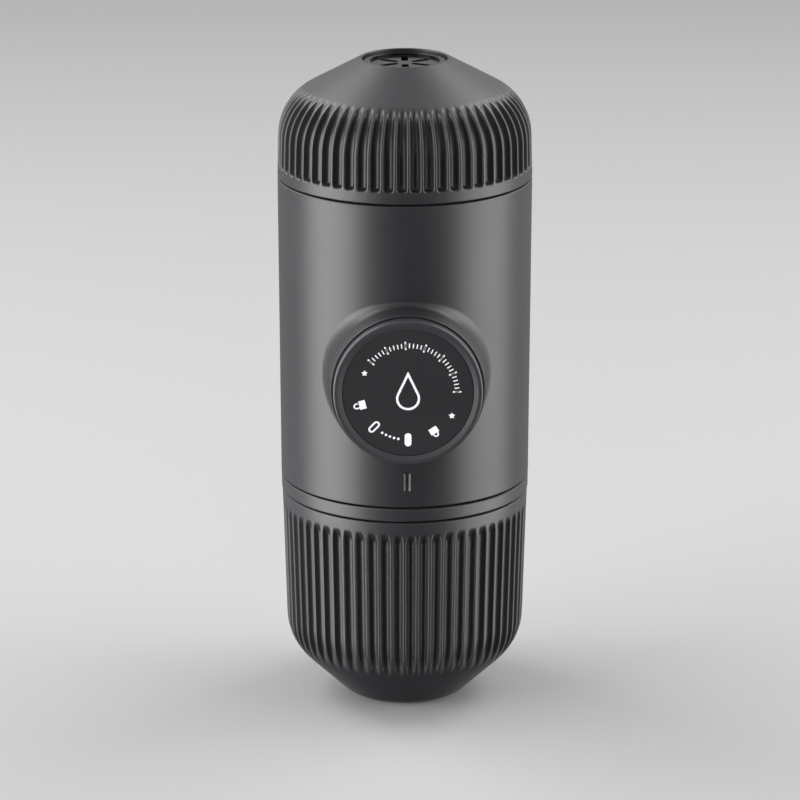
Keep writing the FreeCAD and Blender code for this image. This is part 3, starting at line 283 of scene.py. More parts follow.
def joined(name, pieces):
    """Several pieces made one, their doubles left alone."""
    whole = bmesh.new()
    for piece in pieces:
        whole.from_mesh(piece.data)
    mesh = mesh_of(name, whole)
    for material in pieces[0].data.materials:
        mesh.materials.append(material)
    for piece in pieces:
        bpy.data.objects.remove(piece)
    return new_piece(name, mesh)


def merged_copy(node):
    """A piece with the mesh of one of the frame's nodes, its doubles merged."""
    copy = bmesh.new()
    copy.from_mesh(frame["nodes"][node].data)
    bmesh.ops.remove_doubles(copy, verts=copy.verts, dist=0.0000005)
    mesh = mesh_of(node, copy)
    crease(mesh, 24)
    return new_piece(node + "_piece", mesh)


def shown_mesh(holder):
    """The mesh that an object shows with its modifiers. The object is removed."""
    seen = holder.evaluated_get(bpy.context.evaluated_depsgraph_get())
    mesh = bpy.data.meshes.new_from_object(seen)
    bpy.data.objects.remove(holder)
    return mesh


def shape_with(source, tree, name, **inputs):
    """A plain mesh object from a mesh that a geometry tree has worked on."""
    holder = bpy.data.objects.new("holder", source)
    bpy.context.collection.objects.link(holder)
    modifier = holder.modifiers.new("shape", "NODES")
    modifier.node_group = tree
    for item in tree.interface.items_tree:
        label = item.name.lower().replace(" ", "_")
        if item.in_out == "INPUT" and label in inputs:
            modifier[item.identifier] = inputs[label]
    return new_piece(name, shown_mesh(holder))


# Turned shapes


# The most that a rounded corner turns from one of its points to the next
CORNER_STEP = math.radians(7)
# Rows of a ribbed shell, in millimetres: how far apart they are along its grooves, the
# least that they are apart where the grooves fade, how far they go past the grooves, and
# the least gap to the next point of the plain line
ROW_STEP, FINE_STEP, PAST_END, ROW_GAP = 1.3, 0.15, 0.4, 0.1
# Places across one groove, from crest to crest, as shares of its pitch
GROOVE_COLUMNS = (
    -0.5, -0.44, -0.41, -0.385, -0.36, -0.335, -0.31, -0.275, -0.22, -0.12,
    0, 0.12, 0.22, 0.275, 0.31, 0.335, 0.36, 0.385, 0.41, 0.44,
)
# Off the grooves, a shell has only every fifth of those columns
SPARSE = 5
# The run of a point off the grooves, in metres: far before any groove starts
NO_RUN = -1
# Where the width of a groove is measured, in millimetres from the axis
GROOVE_RADIUS = 30


def around(radius, turn):
    """The place at a distance and an angle from the middle."""
    return radius * math.cos(turn), radius * math.sin(turn)


def rounded(points):
    """A line of (radius, height) points in millimetres, corners rounded by their third number."""
    line = []
    for place, (across, up, *radius) in enumerate(points):
        here = Vector((across, up))
        if not radius:
            line.append(here)
            continue
        back = (Vector(points[place - 1][:2]) - here).normalized()
        ahead = (Vector(points[(place + 1) % len(points)][:2]) - here).normalized()
        half = back.angle(ahead) / 2
        middle = here + (back + ahead).normalized() * radius[0] / math.sin(half)
        first = (here + back * radius[0] / math.tan(half) - middle).normalized()
        last = (here + ahead * radius[0] / math.tan(half) - middle).normalized()
        steps = max(2, math.ceil((math.pi - 2 * half) / CORNER_STEP))
        spokes = [first.slerp(last, step / steps) for step in range(steps + 1)]
        line += [middle + spoke * radius[0] for spoke in spokes]
    return line


def distances(line):
    """How far along a line each of its points is."""
    runs = [0.0]
    for before, after in zip(line, line[1:]):
        runs.append(runs[-1] + (after - before).length)
    return runs


def run_to_height(line, wanted):
    """How far along a line it first passes a height."""
    runs = distances(line)
    for (start, before), (end, after) in zip(zip(runs, line), zip(runs[1:], line[1:])):
        low, high = sorted((before.y, after.y))
        if low <= wanted <= high and low < high:
            part = (wanted - before.y) / (after.y - before.y)
            return start + part * (end - start)
    raise ValueError(f"the line never passes {wanted}")


def point_at(line, runs, run):
    """The point a given way along a line, and the direction that faces out there."""
    step = next((i for i in range(1, len(runs)) if runs[i] >= run), len(runs) - 1)
    before, after = line[step - 1], line[step]
    along = (after - before).normalized()
    return before + along * (run - runs[step - 1]), Vector((along.y, -along.x))


def spaced(start, end, step):
    """Values from start up to end, evenly spaced."""
    steps = max(1, round((end - start) / step))
    return [start + (end - start) * i / steps for i in range(steps)]


def lathe(name, rows, angles, closed):
    """A turned mesh from rows of a radius, a height, a run and the direction facing out.

    A row over the grooves has a column at each angle, and keeps its run and direction on
    its points. Elsewhere these two are None, and the columns are sparse. In a closed
    shape the last row meets the first.
    """
    shell = bmesh.new()
    run_layer = shell.verts.layers.float.new("run")
    out_layer = shell.verts.layers.float_vector.new("out")
    rings = []
    for across, up, run, out in rows:
        if across == 0:
            rings.append([shell.verts.new((0, 0, up * MM))])
            rings[-1][0][run_layer] = NO_RUN
            continue
        ring = []
        for turn in angles if run is not None else angles[::SPARSE]:
            side = Vector((math.cos(turn), math.sin(turn), 0))
            vertex = shell.verts.new(side * across * MM + Vector((0, 0, up * MM)))
            vertex[run_layer] = NO_RUN if run is None else run * MM
            if out is not None:
                vertex[out_layer] = side * out.x + Vector((0, 0, out.y))
            ring.append(vertex)
        rings.append(ring)
    for low, high in zip(rings, rings[1:] + rings[:1] if closed else rings[1:]):
        stitch(shell, low, high)
    mesh = outward_mesh(name, shell)
    crease(mesh, 32)
    return mesh


def stitch(shell, low, high):
    """Faces between two rings, whose columns may be few on one and many on the other."""
    few, many = sorted((low, high), key=len)
    ratio = len(many) // len(few)
    for place in range(len(few) if len(few) > 1 else len(many)):
        if len(few) == 1:
            shell.faces.new((few[0], many[place], many[(place + 1) % len(many)]))
            continue
        edge = [many[(place * ratio + step) % len(many)] for step in range(ratio, -1, -1)]
        shell.faces.new([few[place], few[(place + 1) % len(few)]] + edge)


def columns(grooves, turn):
    """Angles of all the columns of a ribbed shell, from the turn of its first groove."""
    pitch = math.tau / grooves
    return [turn + pitch * (groove + arc) for groove in range(grooves) for arc in GROOVE_COLUMNS]


def ribbed_rows(outer, start, end, fades):
    """Rows of a ribbed shell: the outer line has fine rows where its grooves fade out."""
    runs = distances(outer)
    first, last = fades
    # A fade has up to sixteen rows, and its rounded rim reaches a quarter of it further out
    low, high = start - PAST_END - first / 4, end + PAST_END + last / 4
    fine = spaced(low, start + first, max(FINE_STEP, first / 16))
    fine += spaced(start + first, end - last, ROW_STEP)
    fine += spaced(end - last, high, max(FINE_STEP, last / 16)) + [high]
    plain = [(run, (*point, None, None)) for point, run in zip(outer, runs)]
    rows = [row for run, row in plain if run < low - ROW_GAP]
    for run in fine:
        point, out = point_at(outer, runs, run)
        rows.append((*point, run, out))
    return rows + [row for run, row in plain if run > high + ROW_GAP]


def rib_grooves():
    """Geometry nodes that scoop evenly spaced grooves, faded out at both ends, in a shell."""
    tree, given, made = new_group(
        "rib_grooves", "GeometryNodeTree",
        (
            ("Shell", "Geometry"), ("Grooves", "Int", 60), ("Turn", "Float"),
            ("Start", "Float"), ("End", "Float"), ("Start fade", "Float"),
            ("End fade", "Float"), ("Half width", "Float"), ("Depth", "Float"),
            ("Softness", "Float"), ("Squareness", "Float"), ("End squareness", "Float"),
            ("Radius", "Float"), ("Material", "Material"),
        ),
        (("Ribbed shell", "Geometry"),),
    )
    run, out = (
        add_node(tree, "GeometryNodeInputNamedAttribute", {"Name": name}, data_type=kind)[0]
        for name, kind in (("run", "FLOAT"), ("out", "FLOAT_VECTOR"))
    )
    position = add_node(tree, "GeometryNodeInputPosition")[0]
    place = add_node(tree, "ShaderNodeSeparateXYZ", {0: position})
    # How far a point is from the middle of its groove, round the shell
    round_axis = calculate(tree, "ARCTAN2", place["Y"], place["X"])
    turned = calculate(tree, "SUBTRACT", round_axis, given["Turn"])
    pitch = calculate(tree, "DIVIDE", math.tau, given["Grooves"])
    pitches = calculate(tree, "ADD", calculate(tree, "DIVIDE", turned, pitch), 0.5)
    inside = calculate(tree, "SUBTRACT", calculate(tree, "FLOORED_MODULO", pitches, 1.0), 0.5)
    width = calculate(tree, "MULTIPLY", pitch, given["Radius"])
    arc = calculate(tree, "MULTIPLY", inside, width)
    # How full the groove is there, from 0 at either end to 1 past its fades
    past_start = calculate(tree, "SUBTRACT", run, given["Start"])
    before_end = calculate(tree, "SUBTRACT", given["End"], run)
    faded_in = calculate(tree, "DIVIDE", past_start, given["Start fade"])
    faded_out = calculate(tree, "DIVIDE", before_end, given["End fade"])
    nearer = calculate(tree, "MINIMUM", calculate(tree, "MINIMUM", faded_in, faded_out), 1.0)
    fullness = calculate(tree, "MULTIPLY", nearer, calculate(tree, "SUBTRACT", 2.0, nearer))
    # The scoop climbs from the floor as a power of the way across, and its rim is softened
    across = calculate(tree, "DIVIDE", calculate(tree, "ABSOLUTE", arc), given["Half width"])
    ending = calculate(tree, "SUBTRACT", 1.0, nearer)
    power = calculate(tree, "MULTIPLY_ADD", ending, given["End squareness"], given["Squareness"])
    wall = calculate(tree, "POWER", across, power)
    scoop = calculate(tree, "SUBTRACT", wall, fullness)
    floor = calculate(tree, "MULTIPLY", scoop, given["Depth"])
    sunk = calculate(tree, "SMOOTH_MIN", floor, 0.0, given["Softness"])
    pressed = calculate(tree, "DIVIDE", calculate(tree, "MULTIPLY", sunk, -1.0), given["Depth"])
    # The skin is moved in, and how deep it now is stays on it for the material, which paints shade
    # in the grooves by it
    inputs = {"Geometry": given["Shell"], "Offset": scaled(tree, out, sunk)}
    moved = add_node(tree, "GeometryNodeSetPosition", inputs)[0]
    inputs = {"Geometry": moved, "Name": "groove", "Value": pressed}
    marked = add_node(tree, "GeometryNodeStoreNamedAttribute", inputs)[0]
    finish_tree(tree, marked, given["Material"], made)
    return tree


def turned_copies():
    """Geometry nodes that repeat a shape round the upright axis."""
    tree, given, made = new_group(
        "turned_copies", "GeometryNodeTree",
        (
            ("Shape", "Geometry"), ("Copies", "Int", 4), ("Step", "Float"),
            ("Material", "Material"),
        ),
        (("Ring", "Geometry"),),
    )
    single = add_node(tree, "GeometryNodeGeometryToInstance", {0: given["Shape"]})[0]
    inputs = {"Geometry": single, "Amount": given["Copies"]}
    copies = add_node(tree, "GeometryNodeDuplicateElements", inputs, domain="INSTANCE")
    turn = calculate(tree, "MULTIPLY", copies["Duplicate Index"], given["Step"])
    turns = add_node(tree, "ShaderNodeCombineXYZ", {"Z": turn})[0]
    inputs = {"Instances": copies["Geometry"], "Rotation": turns}
    rotated = add_node(tree, "GeometryNodeRotateInstances", inputs)[0]
    finish_tree(tree, rotated, given["Material"], made)
    return tree


def finish_tree(tree, shape, material, made):
    """Realises a modifier's instances, gives them their material and puts them out."""
    tree.is_modifier = True
    real = add_node(tree, "GeometryNodeRealizeInstances", {"Geometry": shape})[0]
    inputs = {"Geometry": real, "Material": material}
    tree.links.new(add_node(tree, "GeometryNodeSetMaterial", inputs)[0], made[0])


# Effects that several materials share


def object_place(tree):
    """Where a point is on its piece."""
    return add_node(tree, "ShaderNodeTexCoord")["Object"]


def noise(tree, place, scale, detail=2.0, roughness=0.5):
    """The value of a noise texture, 0.5 on average."""
    inputs = {"Vector": place, "Scale": scale, "Detail": detail, "Roughness": roughness}
    return add_node(tree, "ShaderNodeTexNoise", inputs)[0]


def moulded_grain():
    """Shader group: the fine sparked grain of a moulded part, and its slow unevenness."""
    tree, given, made = new_group(
        "moulded_grain", "ShaderNodeTree",
        (("Fineness", "Float", 2600.0), ("Patch", "Float", 55.0)),
        (("Height", "Float"), ("Tone", "Float")),
    )
    place = object_place(tree)
    tree.links.new(noise(tree, place, given["Fineness"], 3.0, 0.55), made["Height"])
    slow = noise(tree, place, given["Patch"], 4.0, 0.6)
    tree.links.new(remap(tree, slow, (0.3, 0.7, -1.0, 1.0)), made["Tone"])
    return tree


def edge_wear():
    """Shader group: a painted highlight along the edges, broken up by noise."""
    tree, given, made = new_group(
        "edge_wear", "ShaderNodeTree",
        (("Reach", "Float", 0.0004), ("Strength", "Float", 1.0)),
        (("Rubbed", "Float"),),
    )
    # An edge is where the bevelled normal turns from the surface's own: there the colour is painted
    # paler, a painted highlight
    eased = add_node(tree, "ShaderNodeBevel", {"Radius": given["Reach"]}, samples=4)[0]
    facing = add_node(tree, "ShaderNodeNewGeometry")["Normal"]
    inputs = {0: eased, 1: facing}
    turned = add_node(tree, "ShaderNodeVectorMath", inputs, operation="DOT_PRODUCT")["Value"]
    edge = remap(tree, turned, (0.98, 0.80, 0.0, 1.0))
    broken = remap(tree, noise(tree, object_place(tree), 700.0, 3.0), (0.35, 0.6, 0.4, 1.0))
    edge_light = calculate(tree, "MULTIPLY", edge, broken)
    tree.links.new(calculate(tree, "MULTIPLY", edge_light, given["Strength"]), made["Rubbed"])
    return tree


def turned_lines():
    """Shader group: fine rings left by turning or spinning round an axis at Z."""
    tree, given, made = new_group(
        "turned_lines", "ShaderNodeTree",
        (("Place", "Vector"), ("Fineness", "Float", 5000.0)),
        (("Height", "Float"),),
    )
    parts = add_node(tree, "ShaderNodeSeparateXYZ", {0: given["Place"]})
    squares = [calculate(tree, "MULTIPLY", parts[name], parts[name]) for name in "XY"]
    radius = calculate(tree, "SQRT", calculate(tree, "ADD", *squares))
    # The turn counts for little, so that the noise is drawn out into long rings
    round_axis = calculate(tree, "ARCTAN2", parts["Y"], parts["X"])
    drawn_out = calculate(tree, "MULTIPLY", round_axis, 0.0002)
    inputs = {"X": radius, "Y": parts["Z"], "Z": drawn_out}
    rings = add_node(tree, "ShaderNodeCombineXYZ", inputs)[0]
    tree.links.new(noise(tree, rings, given["Fineness"], 2.0, 0.7), made["Height"])
    return tree


def place_group(tree, effect, **inputs):
    """A shared effect placed in a material's tree, with its own values."""
    return add_node(tree, "ShaderNodeGroup", inputs, node_tree=shared(effect))


# Materials


def new_material(name, **constants):
    """The tree of a new material, and its surface's inputs, the constants among them set."""
    material = bpy.data.materials.new(name)
    material.use_nodes = True
    surface = material.node_tree.nodes["Principled BSDF"]
    for label, value in constants.items():
        surface.inputs[label.replace("_", " ")].default_value = value
    return material.node_tree, surface.inputs


def tinted(tree, tint, amount, strength):
    """A colour made lighter and darker by an amount from -1 to 1, times a strength."""
    return scaled(tree, tint, calculate(tree, "MULTIPLY_ADD", amount, strength, 1.0))


def blended(tree, share_of_second, *colours):
    """Two colours mixed."""
    first, second = (
        shade if isinstance(shade, bpy.types.NodeSocket) else (*shade, 1) for shade in colours
    )
    # The colours of a Mix node are its sockets 6 and 7, and their mix is its output 2
    inputs = {0: share_of_second, 6: first, 7: second}
    return add_node(tree, "ShaderNodeMix", inputs, data_type="RGBA")[2]


def raised(tree, height, distance):
    """The normal of a bumpy surface, whose bumps are a distance high."""
    return add_node(tree, "ShaderNodeBump", {"Height": height, "Distance": distance})[0]


def rubbed_paler(tint):
    """The paler colour of a plastic along its edges, a painted highlight."""
    return [part * 1.5 + 0.004 for part in tint]


def moulded_plastic(
    name, tint, roughness, grain=0.000004, fineness=2600.0, highlight_amount=0.5, groove_shade=0.0
):
    """Moulded plastic: grain, slow unevenness, a painted highlight along its edges and painted
    shade in its grooves.
    """
    tree, surface = new_material(name, IOR=1.5)
    moulded = place_group(tree, moulded_grain, Fineness=fineness)
    # Edges get a paler colour and a little less roughness: a painted highlight
    edge_light = place_group(tree, edge_wear, Strength=highlight_amount)["Rubbed"]
    body = tinted(tree, tint, moulded["Tone"], 0.05)
    # Grooves are painted darker the deeper they are: painted shade where the real grooves fall in
    # shadow
    if groove_shade:
        groove = add_node(tree, "ShaderNodeAttribute", attribute_name="groove")["Fac"]
        body = tinted(tree, body, groove, -groove_shade)
    tree.links.new(blended(tree, edge_light, body, rubbed_paler(tint)), surface["Base Color"])
    smoother_edges = calculate(tree, "MULTIPLY_ADD", edge_light, -0.06, roughness)
    rough = calculate(tree, "MULTIPLY_ADD", moulded["Tone"], 0.018, smoother_edges, clamp=True)
    tree.links.new(rough, surface["Roughness"])
    tree.links.new(raised(tree, moulded["Height"], grain), surface["Normal"])


def turned_metal(name, tint, roughness, centre=(0, 0, 0), turn=(0, 0, 0), fineness=2600.0):
    """Stainless steel with fine rings round an axis."""
    tree, surface = new_material(name, Metallic=1.0)
    inputs = {"Vector": object_place(tree), "Location": centre, "Rotation": turn}
    place = add_node(tree, "ShaderNodeMapping", inputs)[0]
    rings = place_group(tree, turned_lines, Place=place, Fineness=fineness)["Height"]
    tone = place_group(tree, moulded_grain)["Tone"]
    tree.links.new(tinted(tree, tint, tone, 0.04), surface["Base Color"])
    lines = remap(tree, rings, (0.3, 0.7, -0.06, 0.08))
    tree.links.new(calculate(tree, "ADD", lines, roughness), surface["Roughness"])
    tree.links.new(raised(tree, rings, 0.0000012), surface["Normal"])


def soft_rubber(name, tint, roughness, bloom):
    """Rubber or silicone with a faint pale bloom in patches."""
    tree, surface = new_material(name, IOR=1.45)
    moulded = place_group(tree, moulded_grain, Fineness=1500.0, Patch=160.0)
    pale = [part + bloom for part in tint]
    patches = remap(tree, moulded["Tone"], (-0.2, 1.0, 0.0, 0.6))
    tree.links.new(blended(tree, patches, tint, pale), surface["Base Color"])
    tree.links.new(
        calculate(tree, "MULTIPLY_ADD", moulded["Tone"], 0.05, roughness), surface["Roughness"]
    )
    tree.links.new(raised(tree, moulded["Height"], 0.000008), surface["Normal"])


def polished_plastic(name, tint, roughness):
    """Polished plastic with hairline marks from wiping."""
    tree, surface = new_material(name, IOR=1.52, Specular_IOR_Level=0.08)
    rings = place_group(tree, turned_lines, Place=object_place(tree), Fineness=2500.0)["Height"]
    tone = place_group(tree, moulded_grain)["Tone"]
    # Edges get a paler colour: a painted highlight
    edge_light = place_group(tree, edge_wear, Strength=0.4)["Rubbed"]
    body = tinted(tree, tint, tone, 0.08)
    tree.links.new(blended(tree, edge_light, body, rubbed_paler(tint)), surface["Base Color"])
    hairlines = remap(tree, rings, (0.55, 0.75, 0.0, 0.06))
    tree.links.new(calculate(tree, "ADD", hairlines, roughness), surface["Roughness"])
    tree.links.new(raised(tree, rings, 0.0000006), surface["Normal"])


def printed_ink(name, tint):
    """Screen printed ink, a little uneven in cover."""
    tree, surface = new_material(name, IOR=1.45, Roughness=0.55)
    moulded = place_group(tree, moulded_grain, Fineness=5000.0, Patch=900.0)
    tree.links.new(tinted(tree, tint, moulded["Tone"], 0.05), surface["Base Color"])
    tree.links.new(raised(tree, moulded["Height"], 0.000004), surface["Normal"])


# The height of the knob's level axis, in millimetres, and the turn of the rings round it
KNOB_HEIGHT = 87.3
KNOB_AXIS = {"centre": (0, -KNOB_HEIGHT * MM, 0), "turn": (math.pi / 2, 0, 0)}


class MAKER_OT_materials(Operator):
    """Mixes the plastics, the rubber, the steel and the ink"""

    bl_idname = "maker.materials"
    bl_label = "Materials"

    def execute(self, context):
        finish = settings("finishes")
        satin = finish.satin
        moulded_plastic("satin_shell", finish.shell, satin)
        # The ribbed shell and the ribbed cup get painted shade in their grooves
        moulded_plastic("satin_ribbed_shell", finish.shell, satin, groove_shade=0.1)
        moulded_plastic("satin_ribbed_cup", finish.cup, satin, groove_shade=0.1)
        moulded_plastic("satin_knob", finish.knob, satin)
        moulded_plastic("satin_face", finish.face, 0.5, highlight_amount=0.2)
        moulded_plastic("smoked_tank", finish.tank, satin)
        moulded_plastic("pump_resin", finish.pump, 0.55, grain=0.000008, fineness=1800.0, highlight_amount=0.3)
        polished_plastic("polished_spout", finish.gloss, 0.10)
        soft_rubber("seal_rubber", finish.rubber, 0.62, 0.012)
        soft_rubber("pale_silicone", finish.silicone, 0.5, 0.05)
        turned_metal("turned_steel", finish.steel, 0.26)
        turned_metal("spring_wire", finish.steel, 0.22, fineness=3000.0)
        turned_metal("rod_steel", finish.steel, 0.24, **KNOB_AXIS)
        printed_ink("white_ink", finish.marks)
        return {"FINISHED"}


# Which of the frame's own nodes wears which material
NODE_MATERIALS = {
    "satin_shell": ("main_housing",),
    "satin_knob": ("knob",),
    "satin_face": ("knob_face",),
    "polished_spout": ("spout_insert",),
    "smoked_tank": ("water_tank",),
    "pump_resin": (
        "pump_block", "pump_base", "rod_bush", "guide_sleeve", "inlet_valve_seat",
        "outlet_valve_seat", "outlet_valve_cap",
    ),
    "turned_steel": (
        "shower_screen", "shower_screw", "filter_basket", "inlet_strainer", "inlet_valve_ball",
        "outlet_valve_ball", "pump_base_screws",
    ),
    "rod_steel": ("cylinder_liner", "piston_rod", "spring_washer", "knob_clip", "guide_screws"),
    "spring_wire": ("return_spring", "inlet_valve_spring", "outlet_valve_spring"),
    "seal_rubber": ("piston_seal", "group_seal", "head_gasket", "tank_gasket", "tank_vent_valve"),
    "pale_silicone": ("group_gasket", "cup_grip_ring"),
}


class MAKER_OT_fixed_parts(Operator):
    """Gives the housing, the tank and the parts inside their materials"""

    bl_idname = "maker.fixed_parts"
    bl_label = "Housing and inner parts"

    def execute(self, context):
        for material, names in NODE_MATERIALS.items():
            for name in names:
                dress(frame["nodes"][name].data, material)
        return {"FINISHED"}


# The housing, in millimetres: its radius at its foot, the height of that foot, and how
# much the radius grows with each millimetre of height
HOUSING_RADIUS, HOUSING_FOOT, HOUSING_TAPER = 30.0, 55.8, 0.00475
# The pump boss: how far forward its front is, the radius of its lip, and how much wider
# it is with each millimetre further back
BOSS_FRONT, BOSS_LIP, BOSS_DRAFT = 37.5, 18.0, 0.012
# The front of the boss, from behind its gap to the knob over the lip: radius, and depth
# from the front
BOSS_RIM = (
    (17.8, 0.9), (17.56, 0.75), (17.56, 0.12), (17.6, 0.03), (17.7, -0.02), (17.84, -0.02),
    (17.94, 0.02), (18.0, 0.12),
)
# The ring of the solid housing that the soft foot takes the place of: its radii, how far
# forward it reaches, and how far it stays off the turned face
RING_INNER, RING_OUTER, RING_FRONT, RING_GAP = 17.9, 21.8, 42.0, 0.05
# The soft foot: its sweep straight above and below the knob, how much wider it is at the
# sides, and how thick its skin is
FOOT_SWEEP, FOOT_SPREAD, FOOT_SKIN = 1.7, 6.8, 0.8
# The angles round the knob's axis at which the boss and the ring have a section
BOSS_TURNS = [math.tau * place / 240 for place in range(240)]


def shell_front(across, up):
    """Where the housing's turned face is, in millimetres, at a place across and up."""
    radius = HOUSING_RADIUS + HOUSING_TAPER * (up - HOUSING_FOOT)
    return -math.sqrt(radius * radius - across * across)


def face_at(out, turn):
    """Where the turned face is at a distance and an angle from the knob's axis."""
    across, up = around(out, turn)
    return shell_front(across, KNOB_HEIGHT + up)


def boss_section(turn):
    """The boss from its rim to the housing's face, at an angle round the knob's axis.

    Points are a distance from the axis and a depth, in millimetres.
    """
    sweep = FOOT_SWEEP + FOOT_SPREAD * math.cos(turn) ** 2
    # Spots on the face, a twentieth of a millimetre apart
    spots = [Vector((out / 20, face_at(out / 20, turn))) for out in range(340, 560)]

    def ball(depth):
        """A ball that touches the wall: its middle, the face's nearest spot and the gap."""
        middle = Vector((BOSS_LIP + (depth + BOSS_FRONT) * BOSS_DRAFT + sweep, depth))
        nearest = min(spots, key=lambda spot: (spot - middle).length)
        return middle, nearest, (nearest - middle).length - sweep

    # The ball is moved back until it touches the face as well
    low, high = -BOSS_FRONT, face_at(BOSS_LIP, turn)
    for _ in range(16):
        depth = (low + high) / 2
        low, high = (depth, high) if ball(depth)[2] > 0 else (low, depth)
    middle, nearest, _ = ball(low)
    start, end = Vector((-1, BOSS_DRAFT)).normalized(), (nearest - middle).normalized()
    bend = [middle + start.slerp(end, step / 14) * sweep for step in range(15)]
    rim = [Vector((out, depth - BOSS_FRONT)) for out, depth in BOSS_RIM]
    # The skirt lies on the face past the ring, and its hem dips under the face
    reach = max(nearest.x + 0.3, RING_OUTER + 0.2)
    hem = reach + 0.6
    outs = [nearest.x + (reach - nearest.x) * step / 5 for step in range(1, 6)]
    skirt = [Vector((out, face_at(out, turn))) for out in outs]
    skirt.append(Vector((hem, face_at(hem, turn) + 0.06)))
    back = [
        Vector((hem, skirt[-1].y + FOOT_SKIN)),
        Vector((BOSS_RIM[0][0], face_at(RING_INNER, turn) + FOOT_SKIN)),
    ]
    return rim + bend + skirt + back


def ring_section(turn):
    """The ring that is cut out of the housing round its boss, as boss_section gives it."""
    width = RING_OUTER - RING_INNER
    outs = [RING_INNER + width * step / 8 for step in range(9)]
    floor = [Vector((out, face_at(out, turn) + RING_GAP)) for out in outs]
    return floor + [Vector((RING_OUTER, -RING_FRONT)), Vector((RING_INNER, -RING_FRONT))]


def round_the_knob(name, section):
    """A closed piece with a section at each angle round the knob's axis."""
    sections = []
    for turn in BOSS_TURNS:
        places = [(*around(out, turn), depth) for out, depth in section(turn)]
        sections.append([Vector((across, depth, KNOB_HEIGHT + up)) for across, up, depth in places])
    return new_piece(name, solid_mesh(name, sections, is_ring=True))


def even_face(mesh):
    """Makes the housing's turned face shade as one smooth surface."""
    # How near to the turned face a corner is, and how well its polygon has to face out
    near, facing = 0.09, 0.94
    normals = [Vector((0, 0, 0))] * len(mesh.loops)
    for polygon in mesh.polygons:
        for corner in polygon.loop_indices:
            place = mesh.vertices[mesh.loops[corner].vertex_index].co / MM
            out = Vector((place.x, place.y, 0))
            if abs(out.length + shell_front(0, place.z)) < near:
                outward = Vector((*out.normalized().xy, -HOUSING_TAPER)).normalized()
                if polygon.normal.dot(outward) > facing:
                    normals[corner] = outward
    mesh.normals_split_custom_set(normals)


class MAKER_OT_housing(Operator):
    """Gives the housing's boss its soft foot"""

    bl_idname = "maker.housing"
    bl_label = "Housing"

    def execute(self, context):
        solid = merged_copy("main_housing")
        ring = round_the_knob("ring", ring_section)
        cut = solid.modifiers.new("cut", "BOOLEAN")
        cut.operation, cut.solver, cut.object = "DIFFERENCE", "EXACT", ring
        shell = new_piece("shell", shown_mesh(solid))
        bpy.data.objects.remove(ring)
        foot = round_the_knob("foot", boss_section)
        crease(shell.data, 36)
        crease(foot.data, 24)
        housing = joined("housing_shell", [shell, foot])
        dress(housing.data, "satin_shell")
        even_face(housing.data)
        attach(housing, "housing")
        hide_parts("main_housing")
        return {"FINISHED"}


class MAKER_OT_valve_springs(Operator):
    """Puts wire copies of the two valve springs in place of the frame's own"""

    bl_idname = "maker.valve_springs"
    bl_label = "Valve springs"

    def execute(self, context):
        # The pump's return spring has another mode, and is never seen: it keeps its length
        for joint in frame["joints"]:
            for row in joint.get("deforming_nodes", []):
                if row["mode"] != "scale_z":
                    continue
                coil = merged_copy(row["node"])
                dress(coil.data, "spring_wire")
                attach(coil, "housing")
                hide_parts(row["node"])
                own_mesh(coil)
        return {"FINISHED"}


# The middle of the pointer's height, and its outlines: from its underside, out and up to its
# edge, and down its bevel to its floor. Each is a width, height, corner radius and depth
POINTER_MIDDLE = 62.3
POINTER_OUTLINES = (
    (0.62, 4.0, 0.28, 0.57), (1.56, 4.96, 0.51, 0.57), (1.56, 4.96, 0.51, 0.0),
    (1.5, 4.9, 0.5, 0.02), (0.62, 4.0, 0.28, 0.42),
)


def arc_points(middle, radius, start, end, steps=24):
    """Points along an arc, in millimetres, its angles in degrees."""
    turns = [math.radians(start + (end - start) * step / steps) for step in range(steps + 1)]
    return [(middle[0] + radius * math.cos(t), middle[1] + radius * math.sin(t)) for t in turns]


def slot_outline(wide, tall, corner):
    """A rectangle's outline with round corners, about the origin."""
    half_wide, half_tall = wide / 2 - corner, tall / 2 - corner
    corners = ((1, 1, 0), (-1, 1, 90), (-1, -1, 180), (1, -1, 270))
    return [
        point for across, up, turn in corners
        for point in arc_points((across * half_wide, up * half_tall), corner, turn, turn + 90, 6)
    ]


class MAKER_OT_pointer(Operator):
    """Sinks the small upright pointer below the knob"""

    bl_idname = "maker.pointer"
    bl_label = "Pointer"

    def execute(self, context):
        sections = []
        for *outline, depth in POINTER_OUTLINES:
            places = [(across, POINTER_MIDDLE + up) for across, up in slot_outline(*outline)]
            sections.append([
                Vector((across, shell_front(across, height) + depth, height))
                for across, height in places
            ])
        pointer = new_piece("pointer", solid_mesh("pointer", sections))
        crease(pointer.data, 20)
        dress(pointer.data, "satin_shell")
        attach(pointer, "housing")
        return {"FINISHED"}


# The ribbed dome and cup


def ribbed_shell(name, line, start, end, fades, squarer, size, turn, material):
    """A turned shell whose grooves reach from start to end along its line, in millimetres.

    At their ends the grooves fade out over two lengths, where their scoop is squarer. Their
    size is their width and depth, in metres. A line that doesn't start on the axis is a
    closed one.
    """
    grip = settings("grip")
    angles = columns(grip.grooves, turn)
    plain = lathe(name, ribbed_rows(line, start, end, fades), angles, closed=line[0].x > 0)
    return shape_with(
        plain, shared(rib_grooves), name,
        grooves=grip.grooves, turn=turn, start=start * MM, end=end * MM,
        start_fade=fades[0] * MM, end_fade=fades[1] * MM, half_width=size[0] / 2,
        depth=size[1], softness=grip.softness, squareness=grip.squareness,
        end_squareness=squarer, radius=GROOVE_RADIUS * MM,
        material=bpy.data.materials[material],
    )


THREAD_STARTS = 4
THREAD_LEAD = 24.0


